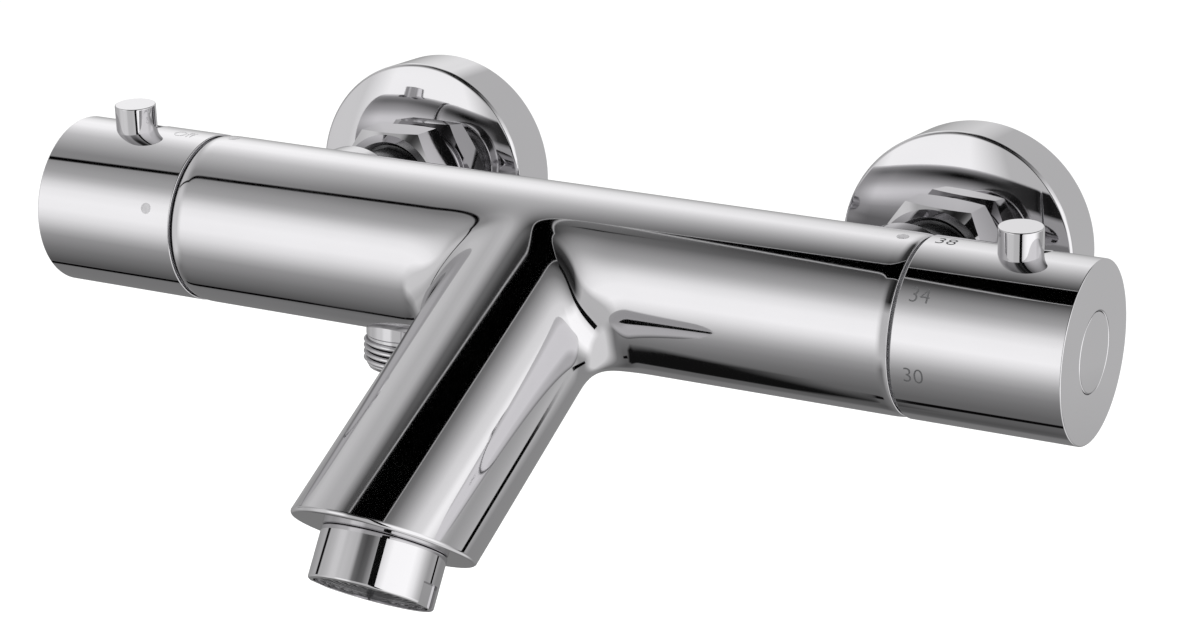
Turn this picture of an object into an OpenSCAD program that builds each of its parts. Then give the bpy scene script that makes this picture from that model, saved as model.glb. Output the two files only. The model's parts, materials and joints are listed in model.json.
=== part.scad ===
// Wall-mounted thermostatic bath and shower valve with a turning knob on each end.
// The origin lies on the wall plane, midway between the two supplies and level with the body's axis.
// X runs along the body to the right, Y runs into the wall and Z points up. Sizes are in millimetres.

/* [Body] */
// Distance between the hot and the cold supply
inlet_pitch = 150; // [147:0.5:152]
// Distance from the wall to the axis of the body
wall_reach = 80.3; // [76:0.1:100]
// Outer diameter of the body and of both knobs
body_d = 41.2; // [40.6:0.1:46]
// Length of the cast body between its end faces
body_len = 186.5; // [184:0.5:196]
// Wall of the body round the thermostat's chamber
body_wall = 3.55; // [3.4:0.05:4]
// Rounding of the body's end edges
body_edge = 0.6; // [0.3:0.1:1]
// Diameter of the collar at each inlet
collar_d = 28; // [26:0.5:30]
// Distance from the body's axis to the end of each collar
collar_reach = 34; // [32:0.5:38]

/* [Spout] */
// How much thinner the spout is than the body
spout_step = 0.4; // [0:0.1:3]
// Length of the spout's axis from the body's axis to the mouth plane
spout_reach = 87.3; // [76:0.1:140]
// Slope of the spout below the horizontal, in degrees
spout_slope = 30.6; // [24:0.1:38]
// Direction that the mouth faces below the horizontal, in degrees
mouth_slope = 60; // [54:0.5:66]
// Wall of the spout
spout_wall = 3.2; // [2.6:0.1:4]
// Radius of the blend between the spout and the body
blend_r = 9; // [5:0.5:12]

/* [Aerator] */
// Outer diameter of the aerator's housing
aerator_d = 28.4; // [27:0.1:30]
// Length of the housing that stands out of the mouth
aerator_len = 12.1; // [10:0.1:15]
// Diameter of the aerator's thread in the mouth
aerator_thread_d = 24; // [22:0.1:24.4]
// How far the aerator sits from the spout's axis, towards the wall
aerator_shift = 1.3; // [0:0.1:2]

/* [Knobs] */
// Length of each knob
knob_len = 39.1; // [37:0.1:46]
// Wall of the knob's shell
knob_wall = 2.1; // [1.8:0.1:2.4]
// Shadow gap between the body and each knob
seam_gap = 1.2; // [1:0.1:2]
// Diameter of the flush cap in the knob's end face
cap_d = 18.2; // [12:0.1:22]
// Diameter of the push button on each knob
button_d = 10.1; // [8:0.1:11]
// Height of the button above the knob's surface
button_rise = 6; // [4:0.1:9]
// Distance from the knob's outer face to the button's axis
button_inset = 17.2; // [16.8:0.1:18.4]
// Lean of the button towards the front at rest, in degrees
button_lean = 6; // [0:0.5:12]
// Travel of the push button
button_travel = 2.5; // [1.5:0.1:2.8]

/* [Inlet unions] */
// Width of the union nut across its flats
nut_af = 29; // [28.8:0.1:32]
// Length of the union nut
nut_len = 12.1; // [11:0.1:16]
// Diameter of the union thread, G 3/4
union_thread_d = 26.44; // [26.4:0.01:26.5]
// Diameter of the wall thread, G 1/2
wall_thread_d = 20.96; // [20.9:0.01:21]
// Length of the wall thread behind the wall plane
wall_thread_len = 14; // [10:0.5:25]
// Drop of the wall thread below the union thread
union_offset = 8; // [0:0.5:10]
// Bore of the union
union_bore_d = 15; // [12:0.5:16]
// Outer diameter of the rosette
rosette_d = 60; // [54:0.2:80]
// Depth of the rosette at its rim
rosette_depth = 15.2; // [13:0.1:25]
// Height of the rosette's domed face above its rim
rosette_rise = 1.9; // [0.5:0.1:3]
// Wall of the rosette
rosette_wall = 1.2; // [0.8:0.1:2]
// Gap between the rosette's face and the nut
rosette_gap = 1.9; // [0.6:0.1:4]

/* [Hose outlet] */
// Diameter of the hose thread, G 1/2
hose_thread_d = 20.96; // [20.9:0.01:21]
// Distance from the middle of the body to the hose outlet
hose_x = 39.4; // [38:0.1:42]
// Distance from the body's axis down to the end of the hose thread
hose_drop = 29.5; // [28.5:0.1:40]
// Height of the smooth neck above the hose thread
hose_neck = 3.3; // [2:0.1:4]
// Bore of the hose outlet
hose_bore_d = 13; // [10:0.5:14]

/* [Hidden] */
$fa = 4;
$fs = 0.5;

// Fits that the pieces share: running and threaded fits, room between moving pieces, and cut overrun
fit = 0.05;
play = 0.3;
over = 1;
// Small edge chamfer on turned pieces
bevel = 0.5;

// Radii and places of the body
body_r = body_d/2;
end_x = body_len/2;
chamber_r = body_r - body_wall;
chamber_depth = 55;
channel_r = 9;
channel_out = 18.2;
channel_in = 14.6;
channel_wall = 2;

// Spout and blend
spout_r = body_r - spout_step/2;
spout_bore_r = spout_r - spout_wall;
spout_bore_from = (channel_in + channel_out)/2;
mouth_wall = 5;
blend_turns = 72;
blend_steps = 8;
blend_sink = 0.12;
blend_root = 4;
mouth_y = -spout_reach*cos(spout_slope);
mouth_z = -spout_reach*sin(spout_slope);
mouth_cut = 60;

// Knob chain, measured outwards from the body's end face
knob_r = body_r;
knob_in_r = knob_r - knob_wall;
knob_from = seam_gap;
knob_to = seam_gap + knob_len;
knob_end_wall = 3;
knob_edge = 0.6;
button_at = knob_to - button_inset;
button_r = button_d/2;
button_top = knob_r + button_rise;
button_flange_r = button_r + 1.1;
button_flange_t = 1.3;
button_flange_top = sqrt(pow(knob_in_r, 2) - pow(button_flange_r, 2)) - play;
button_flange_low = button_flange_top - button_flange_t;
button_stem_r = 2;
button_stem_in = 2;
button_spring_r = 3.5;
button_spring_turns = 4;
adapter_r = 8;
adapter_boss_r = 5.4;
button_spring_solid = 4.1;
adapter_boss_top = button_flange_low - button_travel - button_spring_solid;
adapter_hub_r = 9.5;
hub_wall = 2;
hub_len = 7.6;
hub_to = knob_to - knob_end_wall;
hub_from = hub_to - hub_len;
adapter_from = 13;
spline_r = 4;
spline_len = 24.5;
spindle_r = 5;
screw_r = 2;
screw_head_r = 4;
screw_head_t = 1.4;
screw_hole_depth = 10;
screw_tip_gap = 1;
cap_t = 1.2;

// Cartridge chain, measured outwards from the body's end face, inward values negative
nut_thread = 7;
nut_flange = 5;
end_nut_af = 29;
cart_flange_t = 2.1;
cart_flange_at = -nut_thread - fit - cart_flange_t;
neck_r = 12;
neck_to = 11;
cart_bore_r = 10.5;
spindle_seat = -12;
spindle_flange_t = 2;
stop_ring_from = nut_flange + play;
stop_ring_to = neck_to - fit;
stop_ring_r = 15.5;
stop_lug = 2.4;
slide_ring_t = seam_gap - play;
slide_ring_r = knob_in_r + 0.9;
slide_sleeve_to = 7.5;
slide_sleeve_wall = 1.1;

// Thermostat cartridge
cold_port = [-26, -12];
hot_port = [-52, -42];
port_groove_r = 13.6;
port_hole_r = 2;
port_holes = 6;
oring_r = 1.1;
ring_shares = [0.34375, 0.65625];
thermostat_rings = [for (share = ring_shares) hot_port[1] + share*(cold_port[0] - hot_port[1])];
piston_from = -45;
piston_to = -20;
piston_wall = 2;
hot_channel_to = end_x + (hot_port[0] + hot_port[1])/2;
hot_channel_from = end_x + cart_flange_at - channel_wall;
hot_channel_mid = 30;
hot_channel_span = 60;
wax_r = 4.5;
wax_tip_r = 1.6;
wax_from = -47;
wax_to = -22;
wax_tip_gap = 1;
seat_web = 3;
web_hole_r = 0.9;
cart_lip_r = 8;
cart_lip_t = 1.5;
spring_wire = 0.5;
small_wire = 0.4;
spring_turns = 3;

// Diverter cartridge: angles go round the body's axis, from the wall side towards the top
diverter_r = 12.5;
diverter_depth = 45;
diverter_seal_in = 2.2;
diverter_seals = [-24, diverter_seal_in - diverter_depth];
seal_t = 1.2;
seal_depth = 1;
outlet_port_in = 7;
outlet_port_at = outlet_port_in - diverter_depth;
port_r = 3;
shower_angle = 270;
drum_turn = 90;
window_angle = (180 + spout_slope + shower_angle)/2;
outlet_angles = [window_angle - drum_turn, window_angle + drum_turn];
side_channel_from = end_x + outlet_port_at + port_r + play;
side_channel_span = 90;
side_channel_mids = [(180 + spout_slope + outlet_angles[0])/2, (shower_angle + outlet_angles[1])/2];
liner_lip = 1;
liner_len = 12;
liner_from = liner_lip - diverter_depth;
liner_to = liner_from + liner_len;
liner_wall = 1.5;
drum_r = cart_bore_r - liner_wall - fit;
drum_wall = 2;
drum_end_t = 2.5;
window_r = 2.6;

// Union chain, measured outwards from the wall
rosette_face = rosette_depth + rosette_rise;
rosette_r = rosette_d/2;
rosette_edge = 1.6;
rosette_hub_wall = 2.4;
rosette_hub_len = 6;
nut_from = rosette_face + rosette_gap;
nut_to = nut_from + nut_len;
nut_lip = 2.5;
nut_mouth_r = 11.2;
nut_bevel = 1.2;
union_r = union_thread_d/2;
wall_r = wall_thread_d/2;
flange_t = 2.2;
flange_r = 11.95;
washer_t = 2;
flange_to = nut_to - nut_lip - play;
flange_from = flange_to - flange_t;
washer_from = flange_from - washer_t;
tail_r = 10.3;
tail_in_collar = 12;
tail_bore_r = 7.8;
collar_from = wall_reach - collar_reach;
tail_to = collar_from + tail_in_collar;
inlet_bore_r = 7.5;
union_mid_from = 0;
union_mid_to = 10;
union_base_from = 6;
union_step = 1.5;
union_mid_r = 12;
union_wall_bore_r = 6.5;
hot_nut_turn = 2;
cold_nut_turn = -2.8;
cage_wall = 1.2;
cage_from = flange_from + 1;
poppet_r = 5;
poppet_t = 1.6;
poppet_stem_r = 1.2;
poppet_travel = 3;
poppet_lip = 1.4;
cage_seat_t = 2;
cage_port_r = 1.3;
cage_port_at = 4.3;
check_spring_r = 2.2;
check_wire = 0.35;
check_turns = 5;
check_spring_solid = 6.1;
cage_len = 2*cage_seat_t + play + poppet_t + poppet_travel + check_spring_solid;
strainer_hole_r = 1.6;
strainer_pitch = 3.9;

// Hose outlet
hose_r = hose_thread_d/2;
hose_neck_r = hose_r - 0.7;
hose_top = 17.3;
hose_socket = 15.6;

// Aerator
aerator_r = aerator_d/2;
aerator_spigot = mouth_wall - 0.6;
aerator_wall = 1.5;
aerator_notch = 1;
aerator_notch_w = 6.5;
aerator_notch_len = 5;
aerator_bore_r = 9.6;
insert_t = 5;
insert_inset = 1.2;
insert_holes = 12;
insert_hole_r = 1.1;
insert_ring_share = 0.66;
insert_centre_holes = 6;
insert_centre_share = 0.33;
aerator_washer_t = 1.5;

// Frames that the pieces are drawn in
module at_axis() { translate([0, -wall_reach, 0]) children(); }
module at_end(side) {
    at_axis() mirror([side < 0 ? 1 : 0, 0, 0]) translate([end_x, 0, 0]) rotate([0, 90, 0]) children();
}
module at_button(side) {
    at_axis() translate([side*(end_x + button_at), 0, 0]) rotate([button_lean, 0, 0]) children();
}
module at_inlet(side) { translate([side*inlet_pitch/2, 0, 0]) rotate([90, 0, 0]) children(); }
module at_mouth() {
    at_axis() translate([0, mouth_y, mouth_z]) rotate([90 + mouth_slope, 0, 0]) children();
}
module at_aerator() { at_mouth() translate([0, -aerator_shift, 0]) children(); }
module at_hose() { at_axis() translate([-hose_x, 0, 0]) rotate([180, 0, 0]) children(); }

// Shared shapes, drawn along their own Z axis
module rod(r, from, to) { translate([0, 0, from]) cylinder(r = r, h = to - from); }
module tube(r, r_in, from, to) {
    difference() {
        rod(r, from, to);
        rod(r_in, from - over, to + over);
    }
}
module bevelled(r, from, to, low, high) {
    rotate_extrude() polygon([[0, from], [r - low, from], [r, from + low],
        [r, to - high], [r - high, to], [0, to]]);
}
module hexagon(af, from, to) {
    translate([0, 0, from]) cylinder(r = af/2/cos(30), h = to - from, $fn = 6);
}
module o_ring(groove_r, at) {
    translate([0, 0, at]) rotate_extrude() translate([groove_r + oring_r, 0]) circle(r = oring_r);
}

// A closed helical spring: rings of six points follow the turns
function helix(r, len, turns, t) = [r*cos(360*turns*t), r*sin(360*turns*t), len*t];
module coil(r, wire, from, to, turns) {
    steps = turns*12;
    sides = 6;
    len = to - from - 2*wire;
    points = [for (i = [0:steps]) for (j = [0:sides - 1])
        let(t = i/steps, a = 360*turns*t, w = wire*cos(60*j), h = wire*sin(60*j))
        [(r + w)*cos(a), (r + w)*sin(a), from + wire + len*t + h]];
    walls = [for (i = [0:steps - 1]) for (j = [0:sides - 1])
        let(k = (j + 1) % sides, a = i*sides + j, b = i*sides + k)
        each [[a, a + sides, b + sides], [a, b + sides, b]]];
    low = [for (j = [0:sides - 1]) j];
    high = [for (j = [sides - 1:-1:0]) steps*sides + j];
    polyhedron(points = points, faces = concat([low, high], walls), convexity = 10);
}
// A slice of a ring that runs along the body, mid is its angle from the wall side towards the top
module wet_channel(from, to, mid, span) {
    reach = channel_out*2;
    at_axis() translate([from, 0, 0]) rotate([90, 0, 90]) linear_extrude(to - from) intersection() {
        difference() {
            circle(r = channel_out);
            circle(r = channel_in);
        }
        polygon([[0, 0], reach*[cos(mid - span/2), sin(mid - span/2)],
            reach*[cos(mid), sin(mid)], reach*[cos(mid + span/2), sin(mid + span/2)]]);
    }
}

// Ports across the diverter's cartridge, one to the bath spout and one to the shower hose
module outlet_ports(r, from, to) {
    for (a = outlet_angles) translate([0, 0, outlet_port_at]) rotate([0, 0, a]) rotate([-90, 0, 0])
        rod(r, from, to);
}

// The blend is the skin of a ball that rolls round the joint of two crossing cylinders.
// The spout's axis is Z here and the body's axis is X. Each section is the ball's arc and one root point.
function ball(f) = let(x = (spout_r + blend_r)*cos(f), v = (spout_r + blend_r)*sin(f))
    [x, v, sqrt(pow(body_r + blend_r, 2) - v*v)];
function on_body(f) = let(c = ball(f), k = (body_r - blend_sink)/(body_r + blend_r))
    [c[0], c[1]*k, c[2]*k];
function on_spout(f) = let(c = ball(f), k = (spout_r - blend_sink)/(spout_r + blend_r))
    [c[0]*k, c[1]*k, c[2]];
function blend_point(f, t) = let(c = ball(f), a = on_body(f) - c, b = on_spout(f) - c,
    la = norm(a), lb = norm(b), w = acos(a*b/la/lb))
    c + (la + (lb - la)*t)*(a/la*sin((1 - t)*w) + b/lb*sin(t*w))/sin(w);
function blend_foot(f) = let(c = ball(f), k = (spout_r - blend_root)/(spout_r + blend_r),
    m = (body_r - blend_root)/(body_r + blend_r)) [c[0]*k, c[1]*k, c[2]*m];
module blend() {
    n = blend_steps + 2;
    points = [for (i = [0:blend_turns - 1]) let(f = i*360/blend_turns)
        each concat([for (j = [0:blend_steps]) blend_point(f, j/blend_steps)], [blend_foot(f)])];
    faces = [for (i = [0:blend_turns - 1]) for (j = [0:n - 1])
        let(p = (i + 1) % blend_turns, q = (j + 1) % n,
            a = i*n + j, b = i*n + q, c = p*n + q, d = p*n + j)
        each [[a, b, c], [a, c, d]]];
    polyhedron(points = points, faces = faces, convexity = 8);
}

// Body casting with its spout, collars and waterways
module body_skin() {
    at_axis() rotate([0, 90, 0]) bevelled(body_r, -end_x, end_x, body_edge, body_edge);
    for (side = [-1, 1]) at_inlet(side) bevelled(collar_d/2, collar_from, wall_reach, bevel, 0);
    difference() {
        at_axis() rotate([90 + spout_slope, 0, 0]) union() {
            cylinder(r = spout_r, h = spout_reach + spout_r);
            blend();
        }
        at_mouth() cylinder(r = mouth_cut, h = mouth_cut);
    }
}
module valve_body() color("gainsboro") difference() {
    body_skin();
    // Chambers and the mixed water channel
    at_end(1) rod(chamber_r, -chamber_depth, over);
    at_end(-1) {
        rod(chamber_r, cart_flange_at - fit, over);
        rod(diverter_r + fit, -diverter_depth, over);
    }
    at_axis() rotate([0, 90, 0]) rod(channel_r, diverter_depth - end_x - over, end_x - chamber_depth + over);
    // Hot, bath and shower channels
    wet_channel(-hot_channel_from, hot_channel_to, hot_channel_mid, hot_channel_span);
    wet_channel(-side_channel_from, 0, side_channel_mids[0], side_channel_span);
    wet_channel(-side_channel_from, -hose_x, side_channel_mids[1], side_channel_span);
    at_end(-1) outlet_ports(port_r, channel_r, channel_in + over);
    // Sockets for the tailpieces and the ways in behind them
    for (side = [-1, 1]) at_inlet(side) {
        rod(tail_r + fit, collar_from - over, tail_to + fit);
        rod(inlet_bore_r, tail_to, wall_reach - (side < 0 ? channel_in + bevel : neck_r));
    }
    at_hose() {
        rod(hose_neck_r + fit, hose_socket, body_r + over);
    }
    // Spout waterway and the threaded mouth
    difference() {
        at_axis() rotate([90 + spout_slope, 0, 0]) rod(spout_bore_r, spout_bore_from, spout_reach + spout_r);
        at_mouth() rod(mouth_cut, -mouth_wall, mouth_cut);
    }
    at_aerator() rod(aerator_thread_d/2 + fit, -mouth_wall - over, over);
}

module hose_outlet() color("lightgray") at_hose() difference() {
    union() {
        rod(hose_neck_r, hose_top, hose_drop - over);
        bevelled(hose_r, body_r + hose_neck, hose_drop, bevel, bevel);
    }
    rod(hose_bore_d/2, hose_top - over, hose_drop + over);
}

// Aerator in the spout's mouth
module aerator_housing() color("gainsboro") at_aerator() difference() {
    union() {
        bevelled(aerator_r, fit, aerator_len, bevel, 2*bevel);
        rod(aerator_thread_d/2, -aerator_spigot, over);
    }
    rod(aerator_bore_r, -aerator_spigot - over, aerator_len + over);
    rod(aerator_r - aerator_wall, aerator_len - insert_t - insert_inset, aerator_len + over);
    for (side = [-1, 1]) translate([side*(aerator_r - aerator_notch + over), 0, aerator_len])
        cube([2*over, aerator_notch_w, 2*aerator_notch_len], center = true);
}
module aerator_insert() color("dimgray") at_aerator() difference() {
    rod(aerator_r - aerator_wall - fit, aerator_len - insert_t - insert_inset + aerator_washer_t,
        aerator_len - insert_inset);
    for (i = [0:insert_holes - 1]) rotate([0, 0, i*360/insert_holes])
        translate([aerator_r*insert_ring_share, 0, 0]) rod(insert_hole_r, 0, aerator_len);
    for (i = [0:insert_centre_holes - 1]) rotate([0, 0, i*360/insert_centre_holes])
        translate([aerator_r*insert_centre_share, 0, 0]) rod(insert_hole_r, 0, aerator_len);
}
module aerator_washer() color("black") at_aerator()
    tube(aerator_r - aerator_wall - fit, aerator_bore_r, aerator_len - insert_t - insert_inset,
        aerator_len - insert_t - insert_inset + aerator_washer_t);

// Slide ring, retaining nut and stop ring, the same on both ends
module slide_ring(side) at_end(side) {
    tube(slide_ring_r, knob_in_r - slide_sleeve_wall, 0, slide_ring_t);
    tube(knob_in_r - fit, knob_in_r - slide_sleeve_wall, 0, slide_sleeve_to);
}
module temperature_slide_ring() color("dimgray") slide_ring(1);
module flow_slide_ring() color("dimgray") slide_ring(-1);

module end_nut(side) at_end(side) difference() {
    union() {
        rod(chamber_r - fit, -nut_thread, 0);
        hexagon(end_nut_af, -over, nut_flange);
    }
    rod(neck_r + fit, -nut_thread - over, nut_flange + over);
}
module thermostat_nut() color("goldenrod") end_nut(1);
module diverter_nut() color("goldenrod") end_nut(-1);

module stop_ring(side) at_end(side) difference() {
    union() {
        rod(stop_ring_r, stop_ring_from, stop_ring_to);
        translate([-stop_ring_r, 0, (stop_ring_from + stop_ring_to)/2])
            cube([stop_lug, 2*stop_lug, stop_ring_to - stop_ring_from], center = true);
    }
    rod(neck_r + fit, 0, neck_to + over);
}
module temperature_stop_ring() color("white") stop_ring(1);
module flow_stop_ring() color("white") stop_ring(-1);

// Thermostat cartridge in the right-hand chamber
module thermostat_housing() color("goldenrod") at_end(1) difference() {
    union() {
        rod(chamber_r - fit, play - chamber_depth, -nut_thread - fit);
        rod(neck_r, -nut_thread - over, neck_to);
    }
    for (port = [cold_port, hot_port]) {
        tube(chamber_r + over, port_groove_r, port[0], port[1]);
        for (i = [0:port_holes - 1]) rotate([0, 0, (i + 0.5)*360/port_holes])
            translate([0, 0, (port[0] + port[1])/2]) rotate([0, 90, 0])
                rod(port_hole_r, cart_bore_r - over, chamber_r);
    }
    for (at = thermostat_rings)
        tube(chamber_r + over, chamber_r - 2*oring_r, at - oring_r - fit, at + oring_r + fit);
    rod(cart_lip_r, -chamber_depth - over, spindle_seat);
    rod(cart_bore_r, play - chamber_depth + cart_lip_t, spindle_seat);
    rod(spindle_r + fit, spindle_seat - over, neck_to + over);
}
module thermostat_orings() color("black") at_end(1)
    for (at = thermostat_rings) o_ring(chamber_r - 2*oring_r, at);
module thermostat_piston() color("silver") at_end(1) {
    tube(cart_bore_r - fit, cart_bore_r - piston_wall, piston_from, piston_to);
    difference() {
        rod(cart_bore_r - piston_wall + over, (piston_from + piston_to - seat_web)/2,
            (piston_from + piston_to + seat_web)/2);
        rod(wax_r + fit, piston_from, piston_to);
        for (i = [0:3]) rotate([0, 0, i*90]) translate([(wax_r + cart_bore_r - piston_wall)/2, 0, 0])
            rod(web_hole_r, piston_from, piston_to);
    }
}
module thermostat_wax_element() color("sandybrown") at_end(1) {
    rod(wax_r, wax_from, wax_to);
    rod(wax_tip_r, wax_to - over, spindle_seat - play - spindle_flange_t - wax_tip_gap);
}
module thermostat_return_spring() color("silver") at_end(1)
    coil(cart_bore_r - piston_wall/2 - play, spring_wire, play - chamber_depth + cart_lip_t + fit,
        piston_from - fit, spring_turns);

// Spindle that carries the knob's splines, with the flange that holds it in its cartridge
module spindle(side, from) at_end(side) difference() {
    union() {
        rod(spindle_r, from, neck_to);
        rod(cart_bore_r - play, spindle_seat - play - spindle_flange_t, spindle_seat - play);
        rod(spline_r, neck_to - over, neck_to + spline_len);
    }
    rod(screw_r, neck_to + spline_len - screw_hole_depth, neck_to + spline_len + over);
}
module temperature_spindle() color("goldenrod") spindle(1, spindle_seat - play);

// Diverter cartridge in the left-hand chamber: the drum's window turns to one outlet or the other
module diverter_housing() color("goldenrod") at_end(-1) difference() {
    union() {
        rod(diverter_r - fit, play - diverter_depth, cart_flange_at + over);
        rod(chamber_r - fit, cart_flange_at, -nut_thread - fit);
        rod(neck_r, -nut_thread - over, neck_to);
    }
    outlet_ports(port_r, drum_r, chamber_r);
    for (at = diverter_seals) tube(chamber_r, diverter_r - seal_depth, at - seal_t/2, at + seal_t/2);
    rod(cart_bore_r, -diverter_depth - over, spindle_seat);
    rod(spindle_r + fit, spindle_seat - over, neck_to + over);
}
module diverter_orings() color("black") at_end(-1)
    for (at = diverter_seals) tube(diverter_r, diverter_r - seal_depth, at - seal_t/2, at + seal_t/2);
module diverter_liner() color("white") at_end(-1) difference() {
    tube(cart_bore_r - fit, cart_bore_r - liner_wall, liner_from, liner_to);
    outlet_ports(port_r, 0, cart_bore_r);
}
module diverter_drum() color("ivory") at_end(-1) difference() {
    rod(drum_r, liner_from, liner_to);
    rod(drum_r - drum_wall, liner_from - over, liner_to - drum_end_t);
    translate([0, 0, outlet_port_at]) rotate([0, 0, window_angle]) rotate([-90, 0, 0])
        rod(window_r, 0, drum_r + over);
}
module flow_spindle() color("goldenrod") spindle(-1, liner_to);

// Knob with its splined adapter, screw, cap and push button, the same on both ends
module knob(side) difference() {
    at_end(side) {
        difference() {
            bevelled(knob_r, knob_from, knob_to, bevel, knob_edge);
            rod(knob_in_r, knob_from - over, hub_to);
            rod(cap_d/2 + fit, knob_to - cap_t, knob_to + over);
        }
        tube(adapter_hub_r + fit + hub_wall, adapter_hub_r + fit, hub_from, hub_to);
    }
    at_end(side) {
        rod(screw_head_r + play, hub_to - over, knob_to);
    }
    at_button(side) rod(button_r + fit, 0, button_top);
}
module adapter(side) difference() {
    union() {
        at_end(side) {
            rod(adapter_r, adapter_from, hub_from + over);
            rod(adapter_hub_r, hub_from, hub_to);
        }
        at_button(side) rod(adapter_boss_r, spline_r + over, adapter_boss_top);
    }
    at_end(side) rod(spline_r + fit, adapter_from - over, neck_to + spline_len + fit);
    at_end(side) rod(screw_r + fit, neck_to, knob_to);
    at_button(side) rod(button_stem_r + 2*fit, 0, adapter_boss_top + over);
}
module screw(side) at_end(side) {
    rod(screw_head_r, hub_to, hub_to + screw_head_t);
    rod(screw_r - fit, neck_to + spline_len - screw_hole_depth + screw_tip_gap, hub_to + screw_head_t);
}
module cap(side) at_end(side) bevelled(cap_d/2, knob_to - cap_t, knob_to, 0, bevel/2);
module button(side) at_button(side) {
    bevelled(button_r, button_flange_low, button_top, 0, bevel/2);
    rod(button_flange_r, button_flange_low, button_flange_top);
    rod(button_stem_r, adapter_boss_top - button_stem_in, button_flange_top);
}
module button_spring(side) at_button(side)
    coil(button_spring_r, small_wire, adapter_boss_top + fit, button_flange_low - fit, button_spring_turns);

module temperature_knob() color("gainsboro") knob(1);
module temperature_adapter() color("white") adapter(1);
module temperature_screw() color("silver") screw(1);
module temperature_cap() color("gainsboro") cap(1);
module temperature_button() color("gainsboro") button(1);
module temperature_button_spring() color("silver") button_spring(1);
module flow_knob() color("gainsboro") knob(-1);
module flow_adapter() color("white") adapter(-1);
module flow_screw() color("silver") screw(-1);
module flow_cap() color("gainsboro") cap(-1);
module flow_button() color("gainsboro") button(-1);
module flow_button_spring() color("silver") button_spring(-1);

// Eccentric union between the wall thread and the union nut
module eccentric_union(side) color("gainsboro") at_inlet(side) difference() {
    union() {
        rod(union_r, union_base_from, washer_from);
        translate([0, -union_offset, 0]) {
            rod(union_mid_r, union_mid_from, union_mid_to);
            rod(wall_r, -wall_thread_len, union_mid_from + over);
        }
    }
    rod(union_bore_d/2, union_base_from + union_step, washer_from + over);
    translate([0, -union_offset, 0])
        rod(union_wall_bore_r, -wall_thread_len - over, union_mid_to - union_step);
}
module hot_union() eccentric_union(-1);
module cold_union() eccentric_union(1);

// Rosette: a turned shell with a shallow domed face
dome_r = (pow(rosette_r - rosette_edge, 2) + pow(rosette_rise, 2))/2/rosette_rise;
function dome(r) = rosette_face - dome_r + sqrt(pow(dome_r, 2) - r*r);
function rim(r, z, e) = [for (a = [0:15:90]) [r - e + e*sin(90 - a), z - e + e*cos(90 - a)]];
module rosette_outline(r, hole, low, drop) {
    e = rosette_edge - drop;
    top = [for (i = [0:8]) let(q = hole + (r - e - hole)*i/8) [q, dome(q) - drop]];
    polygon(concat([[hole, low], [r, low]], rim(r, dome(r - e) - drop, e), [for (i = [8:-1:0]) top[i]]));
}
module rosette(side) color("gainsboro") at_inlet(side) {
    rotate_extrude() difference() {
        rosette_outline(rosette_r, union_r + fit, 0, 0);
        rosette_outline(rosette_r - rosette_wall, 0, -over, rosette_wall);
    }
    tube(union_r + fit + rosette_hub_wall, union_r + fit, rosette_face - rosette_hub_len,
        rosette_face - rosette_wall);
}
module hot_rosette() rosette(-1);
module cold_rosette() rosette(1);

// Union nut with its inner lip
module union_nut(side, turn) color("gainsboro") at_inlet(side) rotate([0, 0, turn]) difference() {
    intersection() {
        hexagon(nut_af, nut_from, nut_to);
        bevelled(nut_af/2/cos(30), nut_from, nut_to, nut_bevel/2, nut_bevel);
    }
    rod(union_r + fit, nut_from - over, nut_to - nut_lip);
    rod(nut_mouth_r, nut_from, nut_to + over);
}
module hot_union_nut() union_nut(-1, hot_nut_turn);
module cold_union_nut() union_nut(1, cold_nut_turn);

// Tailpiece that the nut pulls against the washer
module tailpiece(side) color("silver") at_inlet(side) difference() {
    union() {
        rod(flange_r, flange_from, flange_to);
        bevelled(tail_r, flange_to - over, tail_to, 0, bevel);
    }
    rod(tail_bore_r, flange_from - over, tail_to + over);
}
module hot_tailpiece() tailpiece(-1);
module cold_tailpiece() tailpiece(1);
module filter_washer(side) color("black") at_inlet(side) difference() {
    rod(flange_r, washer_from, flange_from);
    for (x = [-1:1]) for (y = [-1:1]) translate([x, y]*strainer_pitch)
        rod(strainer_hole_r, washer_from - over, flange_to);
}
module hot_filter_washer() filter_washer(-1);
module cold_filter_washer() filter_washer(1);

// Non-return valve inside each tailpiece: the poppet opens towards the body
module check_cage(side) color("royalblue") at_inlet(side) difference() {
    rod(tail_bore_r - fit, cage_from, cage_from + cage_len);
    rod(tail_bore_r - cage_wall, cage_from + cage_seat_t, cage_from + cage_len - cage_seat_t);
    rod(poppet_r - poppet_lip, cage_from - over, cage_from + cage_seat_t + over);
    rod(poppet_stem_r + fit, cage_from, cage_from + cage_len + over);
    for (a = [0:90:270]) rotate([0, 0, a]) translate([cage_port_at, 0, 0])
        rod(cage_port_r, cage_from + cage_len/2, cage_from + cage_len + over);
}
module hot_check_cage() check_cage(-1);
module cold_check_cage() check_cage(1);
module check_poppet(side) color("white") at_inlet(side) {
    rod(poppet_r, cage_from + cage_seat_t + play, cage_from + cage_seat_t + play + poppet_t);
    rod(poppet_stem_r, cage_from + cage_seat_t + play, cage_from + cage_len - cage_seat_t/2);
}
module hot_check_poppet() check_poppet(-1);
module cold_check_poppet() check_poppet(1);
module check_spring(side) color("silver") at_inlet(side)
    coil(check_spring_r, check_wire, cage_from + cage_seat_t + play + poppet_t + fit,
        cage_from + cage_len - cage_seat_t - fit, check_turns);
module hot_check_spring() check_spring(-1);
module cold_check_spring() check_spring(1);

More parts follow.
